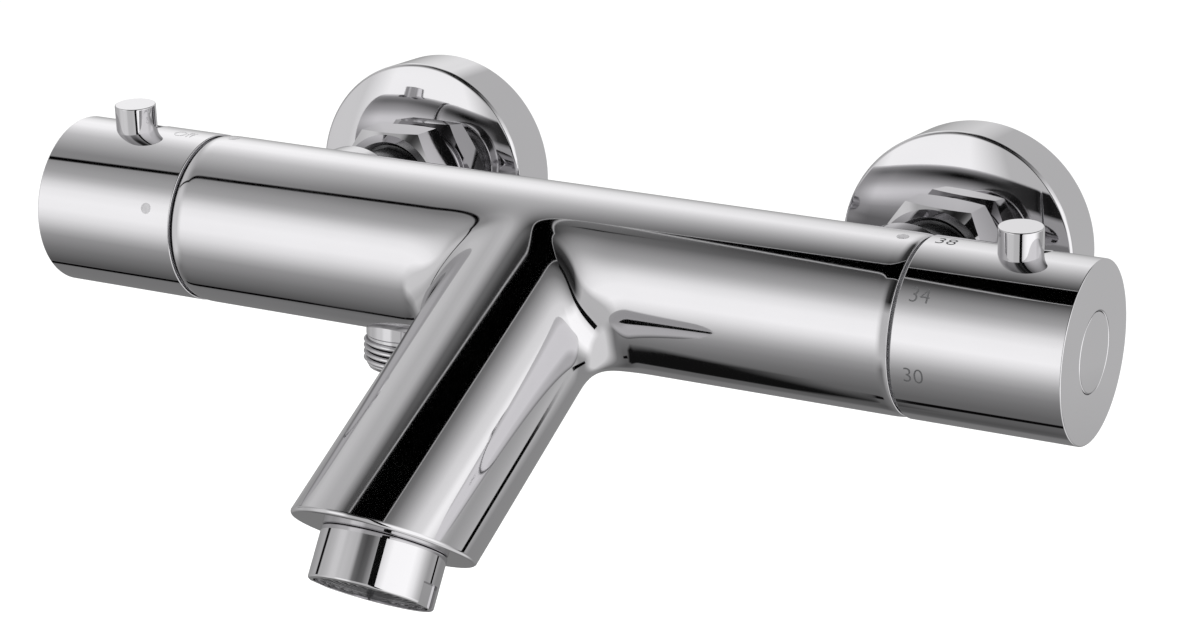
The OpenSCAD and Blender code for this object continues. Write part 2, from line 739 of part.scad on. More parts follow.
valve_body();
hose_outlet();
aerator_housing();
aerator_insert();
aerator_washer();
temperature_slide_ring();
flow_slide_ring();
thermostat_nut();
diverter_nut();
thermostat_housing();
thermostat_orings();
thermostat_piston();
thermostat_wax_element();
thermostat_return_spring();
temperature_spindle();
temperature_stop_ring();
diverter_housing();
diverter_orings();
diverter_liner();
diverter_drum();
flow_spindle();
flow_stop_ring();
temperature_knob();
temperature_adapter();
temperature_screw();
temperature_cap();
temperature_button();
temperature_button_spring();
flow_knob();
flow_adapter();
flow_screw();
flow_cap();
flow_button();
flow_button_spring();
hot_union();
cold_union();
hot_rosette();
cold_rosette();
hot_union_nut();
cold_union_nut();
hot_tailpiece();
cold_tailpiece();
hot_filter_washer();
cold_filter_washer();
hot_check_cage();
cold_check_cage();
hot_check_poppet();
cold_check_poppet();
hot_check_spring();
cold_check_spring();
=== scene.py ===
import json
import math

import bmesh
import bpy
import numpy as np
from mathutils import Matrix, Vector


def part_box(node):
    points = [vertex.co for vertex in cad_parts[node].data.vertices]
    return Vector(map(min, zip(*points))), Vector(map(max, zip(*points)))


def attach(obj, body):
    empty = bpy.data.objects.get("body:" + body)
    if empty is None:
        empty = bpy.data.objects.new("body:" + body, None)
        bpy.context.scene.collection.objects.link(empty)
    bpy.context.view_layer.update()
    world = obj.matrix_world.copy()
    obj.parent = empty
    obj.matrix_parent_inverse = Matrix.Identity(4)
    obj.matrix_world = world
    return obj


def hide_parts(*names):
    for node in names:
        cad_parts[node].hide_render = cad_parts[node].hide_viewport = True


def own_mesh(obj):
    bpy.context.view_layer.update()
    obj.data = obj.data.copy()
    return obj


bl_info = {
    "name": "Bath and shower valve",
    "version": (1, 0, 0),
    "blender": (4, 5, 0),
    "location": "3D View > Sidebar > Valve",
    "description": "Dresses a wall-mounted thermostatic bath and shower valve in polished chrome",
    "category": "Object",
}

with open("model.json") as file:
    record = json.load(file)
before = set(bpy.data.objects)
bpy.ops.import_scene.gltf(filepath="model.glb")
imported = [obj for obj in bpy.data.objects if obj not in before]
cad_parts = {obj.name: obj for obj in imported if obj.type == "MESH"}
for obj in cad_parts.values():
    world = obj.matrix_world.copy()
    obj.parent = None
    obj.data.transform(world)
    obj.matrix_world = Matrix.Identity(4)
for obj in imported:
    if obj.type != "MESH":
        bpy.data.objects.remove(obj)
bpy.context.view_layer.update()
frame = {"nodes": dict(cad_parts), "record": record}
MM = 0.001
WELD = 1e-6
RIGHT = np.array([1.0, 0.0, 0.0])
UP = np.array([0.0, 0.0, 1.0])
TO_WALL = np.array([0.0, 1.0, 0.0])
AXIS_Y = sum(corner.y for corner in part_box("temperature_knob"))/2
ON_AXIS = AXIS_Y*TO_WALL
# Each knob's side, body and its button's body
KNOBS = {"temperature": (1, "temperature_control", "safety_button"),
         "flow": (-1, "flow_control", "eco_button")}
# Each supply's side, and how far its nut is turned from upright in the photo
SUPPLIES = {"hot": (-1, math.radians(2.0)), "cold": (1, math.radians(-2.8))}
# Each inlet's distance from the middle, and how far the unions drop to the wall threads
SUPPLY_OUT, UNION_DROP = 75*MM, 8*MM
# Slopes of the spout and of the way that its mouth faces, down from straight ahead
SPOUT_SLOPE, MOUTH_SLOPE = math.radians(30.6), math.radians(60)
# The aerator sits this far below the middle of the mouth
SOCKET_SHIFT = 1.3*MM
# The buttons lean forwards, and stand this far in from the knobs' end faces
BUTTON_LEAN, BUTTON_IN = math.radians(6), 17.2*MM


def length(name, description, millimetres):
    """A length property, written in millimetres and kept in metres."""
    return bpy.props.FloatProperty(name=name, description=description, default=millimetres*MM,
                                   min=0.0, precision=5, unit="LENGTH")


def share(name, description, value):
    """A property between zero and one."""
    return bpy.props.FloatProperty(name=name, description=description, default=value,
                                   min=0.0, max=1.0, subtype="FACTOR")


def tint(name, description, value):
    """A colour property, in linear values."""
    return bpy.props.FloatVectorProperty(name=name, description=description, default=value,
                                         size=3, min=0.0, max=1.0, subtype="COLOR")


class ValveSizes(bpy.types.PropertyGroup):
    """Sizes of the dressed pieces"""
    bar_radius: length("Bar radius", "Radius of the body and of both knobs", 20.6)
    body_half: length("Body half length", "From the middle of the body to its end face", 93.6)
    shoulder_width: length("Shoulder width", "How far the body's polished end falls away", 6.0)
    shoulder_drop: length("Shoulder drop", "How far the radius falls at the body's end", 0.3)
    seam_edge: length("Seam edge", "Rounding of the edges beside each seam", 0.28)
    knob_edge: length("Knob edge", "Rounding of the knob's outer edge", 0.3)
    knob_wall: length("Knob wall", "Wall of the knob's shell", 2.1)
    button_radius: length("Button radius", "Radius of the push buttons", 5.05)
    button_edge: length("Button edge", "Chamfer of the button's top", 0.3)
    spout_radius: length("Spout radius", "Radius of the spout", 20.4)
    spout_reach: length("Spout reach", "Length of the spout's axis", 87.3)
    blend_reach: length("Blend reach", "How far along the body the spout's blend reaches", 31.0)
    blend_rise: length("Blend rise", "How far up the spout its blend reaches at the sides", 31.3)
    blend_side_rise: length("Blend side rise", "The same for the spout's top and underside", 13.0)
    lip_radius: length("Lip radius", "Rounding of the spout's mouth", 0.9)
    collar_radius: length("Collar radius", "Radius of the inlet collars", 14.0)
    collar_blend: length("Collar blend", "Radius of the blend between collar and body", 0.8)
    thread_pitch: length("Thread pitch", "Pitch of the pipe threads", 1.814)


class ValveFinish(bpy.types.PropertyGroup):
    """Colours and polish of the surfaces"""
    chrome: tint("Chrome", "Colour of the chrome plate", (0.905, 0.895, 0.915))
    polish: share("Roughness", "Roughness of the polished chrome", 0.035)
    etched: tint("Dark mark", "Colour of the marked safe temperature", (0.07, 0.07, 0.075))
    frosted: tint("Pale marks", "Colour of the other temperatures", (0.15, 0.15, 0.155))
    plated: tint("Unpolished plate", "Colour of the plate inside the unions", (0.33, 0.33, 0.335))
    brass: tint("Brass", "Colour of the turned brass", (0.78, 0.60, 0.32))
    steel: tint("Steel", "Colour of the stainless steel", (0.60, 0.60, 0.61))
    copper: tint("Copper", "Colour of the wax element's cup", (0.74, 0.40, 0.26))
    jet_former: tint("Jet former", "Colour of the aerator's insert", (0.045, 0.045, 0.048))


class ValveStudio(bpy.types.PropertyGroup):
    """Floor, lamps and camera"""
    floor: tint("Floor", "Colour of the floor", (0.92, 0.92, 0.92))
    floor_drop: length("Floor drop", "From the supplies down to the floor", 320.0)
    fill: share("Fill", "Level of the plain light from all round", 0.75)
    key: bpy.props.FloatProperty(name="Key lamp", description="Power of the key lamp in watts",
                                 default=14.0, min=0.0)


def unit(v):
    v = np.asarray(v, float)
    return v/np.linalg.norm(v, axis=-1, keepdims=True)


def circle(steps):
    """Angles in even steps once round."""
    return np.arange(steps)*2*math.pi/steps


def spokes(angle):
    """Unit vectors at these angles round local Z."""
    return np.stack([np.cos(angle), np.sin(angle), 0*angle], -1)


def swung(a, b, steps):
    """Rows of unit vectors that swing from a to b."""
    wide = np.arccos(np.clip((a*b).sum(-1, keepdims=True), -1, 1))
    return np.stack([(a*np.sin((1 - t)*wide) + b*np.sin(t*wide))/np.sin(wide)
                     for t in np.linspace(0, 1, steps + 1)])


def ahead(slope):
    """The way straight out from the wall, sloping down."""
    return np.array([0.0, -math.cos(slope), -math.sin(slope)])


def in_mm(*corners):
    """Corners of an outline that are written in millimetres."""
    return [tuple(size*MM for size in corner) for corner in corners]


def new_object(name, data):
    """Puts a mesh, text, lamp or camera in the scene."""
    thing = bpy.data.objects.new(name, data)
    bpy.context.scene.collection.objects.link(thing)
    return thing


def from_bmesh(work, mesh):
    """Writes the edited form into the mesh and frees it."""
    work.to_mesh(mesh)
    work.free()
    return mesh


class Place:
    """A frame that a piece is drawn in: an origin and three square axes."""

    def __init__(self, origin, z_axis, x_axis):
        z = unit(z_axis)
        x = unit(np.asarray(x_axis, float) - np.dot(x_axis, z)*z)
        self.origin = np.asarray(origin, float)
        self.axes = np.array([x, np.cross(z, x), z])

    def points(self, p):
        return self.origin + np.asarray(p, float) @ self.axes

    def directions(self, d):
        return np.asarray(d, float) @ self.axes

    def moved(self, y=0.0, z=0.0):
        """This place shifted along its own axes."""
        return Place(self.points([0.0, y, z]), self.axes[2], self.axes[0])


class Shell:
    """Surface patches with the true normal at every corner, welded into one mesh."""

    def __init__(self):
        self.patches = []

    def grid(self, place, points, normals, wrap=False):
        """Adds rows and columns of quads, drawn in the place. wrap joins the last column to the first."""
        points = place.points(points)
        normals = np.broadcast_to(place.directions(normals), points.shape)
        if wrap:
            points = np.concatenate([points, points[:, :1]], 1)
            normals = np.concatenate([normals, normals[:, :1]], 1)
        rows, cols = points.shape[:2]
        at = np.arange(rows*cols).reshape(rows, cols)
        quads = np.stack([at[:-1, :-1], at[:-1, 1:], at[1:, 1:], at[1:, :-1]], -1).reshape(-1, 4)
        p, n = points.reshape(-1, 3), normals.reshape(-1, 3)
        across = np.cross(p[quads[:, 2]] - p[quads[:, 0]], p[quads[:, 3]] - p[quads[:, 1]])
        if (across*n[quads].sum(1)).sum() < 0:
            quads = quads[:, ::-1]
        self.patches.append((p, n, quads))

    def build(self, name):
        """Returns the welded mesh object."""
        starts = np.cumsum([0] + [len(p) for p, _, _ in self.patches])
        points = np.concatenate([p for p, _, _ in self.patches])
        normals = unit(np.concatenate([n for _, n, _ in self.patches]))
        quads = np.concatenate([q + s for (_, _, q), s in zip(self.patches, starts)])
        keys = np.round(points/WELD + 0.37).astype(np.int64)
        _, first, welded = np.unique(keys, axis=0, return_index=True, return_inverse=True)
        welded = welded.ravel()
        faces, corners = [], []
        for quad in quads:
            own = [c for k, c in enumerate(quad) if welded[c] != welded[quad[k - 1]]]
            if len({welded[c] for c in own}) > 2:
                faces.append([int(welded[c]) for c in own])
                corners.extend(own)
        mesh = bpy.data.meshes.new(name)
        mesh.from_pydata(points[first], [], faces)
        mesh.polygons.foreach_set("use_smooth", [True]*len(faces))
        mesh.normals_split_custom_set(normals[corners].tolist())
        return new_object(name, mesh)


def outline(corners, arc_steps=6, closed=False):
    """Runs of (radius, height, normal) along straight lines and fillets through the corners.

    A corner is (radius, height) or (radius, height, fillet). The way round keeps the open air on the right.
    """
    count = len(corners)
    spots = [np.array(c[:2], float) for c in corners]
    turns = []
    for i, corner in enumerate(corners):
        fillet = corner[2] if len(corner) > 2 else 0
        if not fillet or (not closed and i in (0, count - 1)):
            turns.append((spots[i], spots[i], None))
            continue
        before, after = unit(spots[i] - spots[i - 1]), unit(spots[(i + 1) % count] - spots[i])
        bend = math.atan2(before[0]*after[1] - before[1]*after[0], before @ after)
        cut = fillet*math.tan(abs(bend)/2)
        start, end = spots[i] - before*cut, spots[i] + after*cut
        centre = start + np.array([-before[1], before[0]])*math.copysign(fillet, bend)
        rows = []
        for k in range(arc_steps + 1):
            c, s = math.cos(bend*k/arc_steps), math.sin(bend*k/arc_steps)
            spin = np.array([[c, -s], [s, c]])
            way = spin @ before
            rows.append((*(centre + spin @ (start - centre)), way[1], -way[0]))
        turns.append((start, end, rows))
    runs = []
    for i in range(count if closed else count - 1):
        a, (b, _, arc) = turns[i][1], turns[(i + 1) % count]
        if np.linalg.norm(b - a) > 1e-9:
            way = unit(b - a)
            runs.append([(*a, way[1], -way[0]), (*b, way[1], -way[0])])
        if arc:
            runs.append(arc)
    return runs


def turned(shell, place, runs, steps=160, angles=None):
    """Turns the runs of an outline round the place's Z axis, in even steps or through the given angles."""
    ring = spokes(circle(steps) if angles is None else np.asarray(angles))
    for run in runs:
        r, z, nr, nz = np.array(run, float).T[:, :, None, None]
        shell.grid(place, r*ring + z*UP, nr*ring + nz*UP, wrap=angles is None)


def lathed(name, place, runs, steps):
    """A piece that is turned all round."""
    shell = Shell()
    turned(shell, place, runs, steps)
    return shell.build(name)


class Blend:
    """The skin of a ball that rolls round the joint of a bar and a branch.

    The branch runs along local Z and the bar along local X. f goes round the branch.
    """

    def __init__(self, bar, branch, ball):
        self.bar, self.branch, self.ball = bar, branch, ball

    def centre(self, f):
        x, v = (self.branch + self.ball)*np.cos(f), (self.branch + self.ball)*np.sin(f)
        return np.stack([x, v, np.sqrt((self.bar + self.ball)**2 - v*v)], -1)

    def on_bar(self, f):
        return self.centre(f)*np.array([1, *[self.bar/(self.bar + self.ball)]*2])

    def on_branch(self, f):
        return self.centre(f)*np.array([*[self.branch/(self.branch + self.ball)]*2, 1])

    def patch(self, shell, place, f, steps):
        c = self.centre(f)
        ways = swung(unit(self.on_bar(f) - c), unit(self.on_branch(f) - c), steps)
        shell.grid(place, c + self.ball*ways, -ways, wrap=True)


class SpoutBlend:
    """A skin of smooth curvature that flows from a bar along local X into a branch along local Z.

    turn goes once round the branch. The skin leaves the bar on a rounded square, and wrap is how far that
    goes round the bar.
    """

    def __init__(self, sizes):
        self.bar, self.branch = sizes.bar_radius, sizes.spout_radius
        self.reach, self.rise, self.side_rise = sizes.blend_reach, sizes.blend_rise, sizes.blend_side_rise
        self.wrap, self.square, self.pull = math.radians(97), 3.3, 1.25

    def on_bar(self, turn):
        """Places along the bar, angles round it, points and normals where the skin leaves the bar."""
        c, s = np.cos(turn), np.sin(turn)
        wide = (np.abs(c)**self.square + np.abs(s)**self.square)**(-1/self.square)
        x, angle = self.reach*wide*c, self.wrap*wide*s
        normal = np.stack([0*x, np.sin(angle), np.cos(angle)], -1)
        return x, angle, x[:, None]*RIGHT + self.bar*normal, normal

    def on_branch(self, turn):
        """Angles round the branch, points and normals where the skin meets the branch."""
        foot = self.on_bar(turn)[2]
        angle = np.arctan2(foot[:, 1], foot[:, 0])
        height = np.hypot(self.rise*np.cos(angle), self.side_rise*np.sin(angle))
        return angle, self.branch*spokes(angle) + height[:, None]*UP, spokes(angle)

    def patch(self, shell, place, turn, steps=28):
        """Draws a curve of the fifth power from each place on the bar to its place on the branch."""
        _, angle, a, normal_a = self.on_bar(turn)
        _, b, normal_b = self.on_branch(turn)
        gap = b - a
        pace = self.pull*np.linalg.norm(gap, axis=-1, keepdims=True)

        def leave(normal, round_way, radius):
            way = unit(gap - (gap*normal).sum(-1, keepdims=True)*normal)
            bend = (way*round_way).sum(-1, keepdims=True)**2/radius
            return pace*way, -pace**2*bend*normal

        go_a, curl_a = leave(normal_a, np.stack([0*angle, np.cos(angle), -np.sin(angle)], -1), self.bar)
        go_b, curl_b = leave(normal_b, np.cross(UP, normal_b), self.branch)
        powers = [a, go_a, curl_a/2, 10*gap - 6*go_a - 4*go_b - 1.5*curl_a + 0.5*curl_b,
                  -15*gap + 8*go_a + 7*go_b + 1.5*curl_a - curl_b,
                  6*gap - 3*go_a - 3*go_b - 0.5*curl_a + 0.5*curl_b]
        t = np.linspace(0, 1, steps + 1)[:, None, None]
        points = sum(c*t**k for k, c in enumerate(powers))
        along = sum(k*c*t**(k - 1) for k, c in enumerate(powers) if k)
        normals = unit(np.cross(np.roll(points, -1, 1) - np.roll(points, 1, 1), along))
        normals = normals*np.sign((normals*(normal_a + normal_b)).sum(-1, keepdims=True))
        normals[0], normals[-1] = normal_a, normal_b
        shell.grid(place, points, normals, wrap=True)


def finish_piece(piece, material, body, *nodes, slot="polished_chrome"):
    """Gives a piece its material and body, and hides the CAD nodes that it stands for. slot is not used."""
    piece.data.materials.clear()
    piece.data.materials.append(material)
    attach(piece, body)
    if nodes:
        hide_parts(*nodes)


class Wiring:
    """Short calls that build a node tree."""

    def __init__(self, tree):
        self.tree = tree

    def add(self, kind, sockets=(), **settings):
        """Adds a node with its settings, and fills or connects these (input, value) pairs."""
        node = self.tree.nodes.new(kind)
        for key, value in settings.items():
            setattr(node, key, value)
        for key, value in sockets:
            self.put(node.inputs[key], value)
        return node

    def put(self, socket, value):
        if isinstance(value, bpy.types.NodeSocket):
            self.tree.links.new(value, socket)
        else:
            socket.default_value = value

    def math(self, operation, *values, clamp=False):
        node = self.add("ShaderNodeMath", enumerate(values), operation=operation, use_clamp=clamp)
        return node.outputs[0]

    def remap(self, value, low, high, to_low=0.0, to_high=1.0):
        return self.add("ShaderNodeMapRange", enumerate((value, low, high, to_low, to_high))).outputs[0]

    def mix(self, factor, a, b):
        """Mixes two colours or greys."""
        node = self.add("ShaderNodeMix", data_type="RGBA")
        sockets = [s for s in node.inputs if s.enabled]
        for socket, value in zip(sockets, (factor, a, b)):
            if isinstance(value, (int, float)) and socket is not sockets[0]:
                value = (value, value, value, 1.0)
            self.put(socket, value)
        return next(s for s in node.outputs if s.enabled)

    def dot(self, a, b):
        return self.add("ShaderNodeVectorMath", enumerate((a, b)), operation="DOT_PRODUCT").outputs["Value"]

    def noise(self, vector, scale, detail, roughness=0.5):
        return self.add("ShaderNodeTexNoise", (("Vector", vector), ("Scale", scale), ("Detail", detail),
                                               ("Roughness", roughness))).outputs["Fac"]

    def ramp(self, value, stops):
        """A ramp through (place, grey) stops."""
        node = self.add("ShaderNodeValToRGB", ((0, value),))
        marks = node.color_ramp.elements
        while len(marks) < len(stops):
            marks.new(1.0)
        for mark, (place, grey) in zip(marks, stops):
            mark.position, mark.color = place, (grey, grey, grey, 1.0)
        return node.outputs["Color"]


def shiny(name, colour, roughness, metallic, wave, grain, shade, stretch=(1.0, 1.0, 1.0), specular=0.5):
    """A shader whose roughness, colour and bump vary over the surface.

    wave is the height of slow polish marks and grain of fine ones, in metres. shade is how far the
    colour varies.
    """
    material = bpy.data.materials.new(name)
    material.use_nodes = True
    w = Wiring(material.node_tree)
    shader = material.node_tree.nodes["Principled BSDF"]
    spot = w.add("ShaderNodeTexCoord").outputs["Object"]
    drawn_out = w.add("ShaderNodeMapping", (("Vector", spot), ("Scale", stretch))).outputs[0]
    patches = w.noise(spot, 55.0, 3.0)
    fine = w.noise(drawn_out, 900.0, 4.0, 0.6)
    rough = w.math("ADD", w.remap(patches, 0.3, 0.7, roughness*0.7, roughness*1.35),
                   w.remap(fine, 0.35, 0.75, 0.0, roughness*0.6))
    dark = [c*(1 - shade) for c in colour]
    height = w.math("ADD", w.math("MULTIPLY", w.noise(spot, 38.0, 1.0), wave),
                    w.math("MULTIPLY", fine, grain))
    bump = w.add("ShaderNodeBump", (("Strength", 1.0), ("Distance", 1.0), ("Height", height)))
    for key, value in (("Roughness", rough), ("Metallic", metallic), ("Specular IOR Level", specular),
                       ("Base Color", w.mix(w.remap(patches, 0.35, 0.65), (*dark, 1.0), (*colour, 1.0))),
                       ("Normal", bump.outputs[0])):
        w.put(shader.inputs[key], value)


def finishes(scene):
    """Makes each finish once and returns them by name."""
    look = scene.valve_finish
    # Colour, roughness, metal, heights of the polish marks and of the grain, and change of colour
    recipes = {
        "cast_chrome": (look.chrome, look.polish, 1.0, 2.4e-5, 0.0, 0.015),
        "turned_chrome": (look.chrome, look.polish*0.8, 1.0, 5e-6, 0.0, 0.01),
        "thread_chrome": (look.chrome, 0.12, 1.0, 8e-6, 2e-6, 0.05),
        "dark_mark": (look.etched, 0.5, 0.3, 0.0, 3e-6, 0.15),
        "pale_mark": (look.frosted, 0.5, 0.6, 0.0, 3e-6, 0.10),
        "plain_chrome": (look.plated, 0.20, 1.0, 0.0, 3e-6, 0.12),
        "faint_mark": (look.chrome, 0.36, 1.0, 0.0, 3e-6, 0.12),
        "turned_brass": (look.brass, 0.24, 1.0, 0.0, 4e-6, 0.12, (1.0, 0.06, 0.06)),
        "stainless_steel": (look.steel, 0.28, 1.0, 0.0, 3e-6, 0.06),
        "copper_cup": (look.copper, 0.3, 1.0, 0.0, 3e-6, 0.12),
        "jet_plastic": (look.jet_former, 0.16, 0.0, 0.0, 2e-7, 0.25, (1.0, 1.0, 1.0), 0.15),
        "grey_plastic": ((0.055, 0.055, 0.06), 0.42, 0.0, 0.0, 6e-6, 0.2),
        "white_acetal": ((0.80, 0.80, 0.77), 0.38, 0.0, 0.0, 5e-6, 0.05),
        "blue_acetal": ((0.04, 0.13, 0.45), 0.36, 0.0, 0.0, 5e-6, 0.12),
        "black_rubber": ((0.02, 0.02, 0.021), 0.62, 0.0, 0.0, 9e-6, 0.3),
        "alumina": ((0.86, 0.83, 0.78), 0.22, 0.0, 0.0, 3e-6, 0.05),
    }
    for name, recipe in recipes.items():
        if name not in bpy.data.materials:
            shiny(name, *recipe)
    return {name: bpy.data.materials[name] for name in recipes}


class Step:
    """What the making steps share: each is an operator that calls its make."""

    def execute(self, context):
        self.make(context.scene.valve_sizes, finishes(context.scene))
        return {"FINISHED"}


def span_x(node):
    """How far a node's ends lie from the middle of the body along X."""
    return sorted(abs(corner.x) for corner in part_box(node))


def middle_x(node):
    return sum(corner.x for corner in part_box(node))/2


def main_shell(shell, sizes):
    """The bar of the body, with its hole for the spout's blend, its soft shoulders and bored ends."""
    bar, spout_way = sizes.bar_radius, ahead(SPOUT_SLOPE)
    place = Place(ON_AXIS, spout_way, RIGHT)
    blend = SpoutBlend(sizes)
    half_turn = np.linspace(-math.pi/2, math.pi/2, 129)
    around = np.concatenate([half_turn, half_turn[1:-1] + math.pi])
    blend.patch(shell, place, around)

    hole_x, hole_angle, _, _ = blend.on_bar(half_turn)
    closed_angle = np.linspace(blend.wrap, 2*math.pi - blend.wrap, 121)[1:]
    angle = np.concatenate([hole_angle, closed_angle])
    ring = np.stack([0*angle, np.sin(angle), np.cos(angle)], -1)
    start = np.concatenate([hole_x, 0*closed_angle])

    end, edge = sizes.body_half, sizes.seam_edge
    last, plain_from, fall_from = end - edge, blend.reach + edge, end - sizes.shoulder_width
    near = start + np.linspace(0, 1, 13)[:, None]*(plain_from - start)
    plain = np.linspace(plain_from, fall_from, 7)[1:, None] + 0*angle
    fall = np.linspace(0, 1, 25)[1:]
    x = np.concatenate([near, plain, (fall_from + fall*(last - fall_from))[:, None] + 0*angle])
    fall = np.concatenate([np.zeros(len(near) + len(plain)), fall])[:, None, None]
    points = x[..., None]*RIGHT + (bar - sizes.shoulder_drop*fall**5)*ring
    normals = ring + 5*sizes.shoulder_drop*fall**4/(last - fall_from)*RIGHT
    low, bore = bar - sizes.shoulder_drop, bar - sizes.knob_wall - 1.4*MM
    rim = outline([(low, last), (low, end, edge*0.98), (bore, end)])
    for side in (-1, 1):
        mirror = np.array([side, 1, 1])
        shell.grid(place, points*mirror, normals*mirror)
        turned(shell, Place(ON_AXIS, side*RIGHT, spout_way), rim, angles=side*angle)
    # Bores from right to left: thermostat, mixed water, diverter's seat, diverter
    depth, passage, seat, seat_from, seat_to = (size*MM for size in (55, 9, 12.5, 45, 9.2))
    chambers = [(bore, end), (bore, end - depth), (passage, end - depth), (passage, seat_from - end),
                (seat, seat_from - end), (seat, seat_to - end), (bore, seat_to - end), (bore, -end)]
    turned(shell, Place(ON_AXIS, RIGHT, spout_way), outline(chambers), angles=angle)
    spout_shell(shell, sizes, place, blend, around)


def spout_shell(shell, sizes, place, blend, around):
    """The spout from its blend to the rounded lip, the mouth's face and the aerator's socket."""
    r, lip = sizes.spout_radius, sizes.lip_radius
    around, foot, spin = blend.on_branch(around)
    tilt = MOUTH_SLOPE - SPOUT_SLOPE
    out = np.array([0.0, -math.sin(tilt), math.cos(tilt)])
    flat = np.array([0.0, math.cos(tilt), math.sin(tilt)])
    centre_z = sizes.spout_reach + (r - lip)*np.sin(around)*math.tan(tilt) - lip/math.cos(tilt)
    z = foot[:, 2] + np.linspace(0, 1, 9)[:, None]*(centre_z - foot[:, 2])
    shell.grid(place, r*spin + z[..., None]*UP, spin, wrap=True)
    centre = (r - lip)*spin + centre_z[:, None]*UP
    ways = swung(spin, out, 8)
    shell.grid(place, centre + lip*ways, ways, wrap=True)
    inward = -(np.cos(around)[:, None]*RIGHT + np.sin(around)[:, None]*flat)
    socket_r, socket_depth = 12.05*MM, 5*MM
    mouth = sizes.spout_reach*UP - SOCKET_SHIFT*flat - socket_r*inward
    floor = mouth - socket_depth*out
    middle = floor + socket_r*inward
    shell.grid(place, [centre + lip*out, mouth], out, wrap=True)
    shell.grid(place, [mouth, floor], inward, wrap=True)
    shell.grid(place, [floor, middle], out, wrap=True)


def collar_shell(shell, sizes, supply):
    """An inlet collar with its small blend, bored for the tailpiece."""
    place = Place(middle_x(f"{supply}_union")*RIGHT + ON_AXIS, TO_WALL, RIGHT)
    blend = Blend(sizes.bar_radius, sizes.collar_radius, sizes.collar_blend)
    around = circle(144)
    blend.patch(shell, place, around, steps=6)
    r, top, bore, floor = sizes.collar_radius, 34*MM, 10.35*MM, 22*MM
    spin, on_bar = spokes(around), blend.on_bar(around)
    foot = on_bar*np.array([1, 0.9, 0.9])
    shell.grid(place, [blend.on_branch(around), r*spin + (top - 0.5*MM)*UP], spin, wrap=True)
    shell.grid(place, [on_bar, foot], spin, wrap=True)
    shell.grid(place, [foot, 0*foot + foot.mean(0)], -UP, wrap=True)
    rim = [(r, top - 0.5*MM), (r, top, 0.49*MM), (bore, top, 0.2*MM), (bore, floor), (0, floor)]
    turned(shell, place, outline(rim), 144)


class VALVE_OT_body(Step, bpy.types.Operator):
    """Makes the body casting with its spout and collars"""
    bl_idname = "valve.body"
    bl_label = "Body"

    def make(self, sizes, finish):
        shell = Shell()
        main_shell(shell, sizes)
        for supply in SUPPLIES:
            collar_shell(shell, sizes, supply)
        finish_piece(shell.build("valve_body_shell"), finish["cast_chrome"], "valve", "valve_body")


def holed_barrel(shell, place, radius, low, high, hole, hole_r, outward=1):
    """A barrel from low to high along local Z with one round hole through its wall.

    hole is the hole's (height, angle). Returns points round the hole's rim, with their angles.
    """
    half = 8*MM
    grid = np.linspace(-1, 1, 17)
    z_hole, a_hole = hole[0] + half*grid, hole[1] + half/radius*grid
    z_all = np.array([low, *z_hole, high])[:, None]
    a_rest = np.linspace(a_hole[-1], a_hole[0] + 2*math.pi, 121)

    def patch(z, a, wrap=False):
        out = spokes(a + 0*z)
        points = radius*out + (z + 0*a)[..., None]*UP
        shell.grid(place, points, out*outward, wrap)
        return points

    for z, a in ((z_all, a_rest), (z_all[:2], a_hole), (z_all[-2:], a_hole)):
        patch(z, a)
    half_square = [(-1, g) for g in grid[:-1]] + [(g, 1) for g in grid[:-1]]
    square = np.array(half_square + [(-a, -b) for a, b in half_square])
    way = np.arctan2(square[:, 1], square[:, 0])
    z_rim, a_rim = hole[0] + hole_r*np.cos(way), hole[1] + np.arcsin(hole_r*np.sin(way)/radius)
    z_square, a_square = hole[0] + half*square[:, 0], hole[1] + half/radius*square[:, 1]
    t = np.linspace(0, 1, 9)[:, None]
    return patch(z_rim + t*(z_square - z_rim), a_rim + t*(a_square - a_rim), wrap=True)[0], way


def knob_shell(sizes, kind, side):
    """A knob's shell with its cap recess and button hole."""
    near, far = span_x(f"{kind}_knob")
    place = Place(ON_AXIS, side*RIGHT, UP)
    r, inner, edge = sizes.bar_radius, sizes.bar_radius - sizes.knob_wall, sizes.seam_edge
    low, high, floor = near + edge, far - sizes.knob_edge, far - 3*MM
    hole, hole_r, chamfer = (far - BUTTON_IN, -side*BUTTON_LEAN), sizes.button_radius + 0.18*MM, 0.22*MM
    shell = Shell()
    outer_rim, way = holed_barrel(shell, place, r, low, high, hole, hole_r + chamfer)
    inner_rim, _ = holed_barrel(shell, place, inner, near + 2*edge, floor, hole, hole_r, outward=-1)
    up = spokes(hole[1])
    outwards = np.cos(way)[:, None]*UP + np.sin(way)[:, None]*np.cross(UP, up)
    at = hole[0]*UP
    depth = (outer_rim - at) @ up - chamfer
    step_rim = at + hole_r*outwards + depth[:, None]*up
    shell.grid(place, [outer_rim, step_rim], up - outwards, wrap=True)
    shell.grid(place, [step_rim, inner_rim], -outwards, wrap=True)
    cap_r, cap_edge, recess = 9.15*MM, 0.4*MM, far - 1.2*MM
    near_end = [(inner, near + 2*edge), (inner + edge, near), (r, near, edge*0.98), (r, low)]
    far_end = [(r, high), (r, far, sizes.knob_edge*0.98), (cap_r, far, cap_edge), (cap_r, recess),
               (0, recess)]
    for runs in (outline(near_end), outline(far_end), [[(0, floor, 0, -1), (inner, floor, 0, -1)]]):
        turned(shell, place, runs, 120)
    return shell.build(f"{kind}_knob_shell")


def cap_shell(kind, side):
    """The flush disc in the knob's end face, with a slight dome."""
    near, far = span_x(f"{kind}_cap")
    r, edge, rise = 9.05*MM, 0.35*MM, 0.12*MM
    runs = outline([(0, near), (r, near), (r, far, edge), (0, far)])
    runs[-1] = [(r - edge - (r - edge)*t, far, 2*rise/r*(1 - t), 1.0) for t in np.linspace(0, 1, 9)]
    return lathed(f"{kind}_cap_shell", Place(ON_AXIS, side*RIGHT, UP), runs, 120)


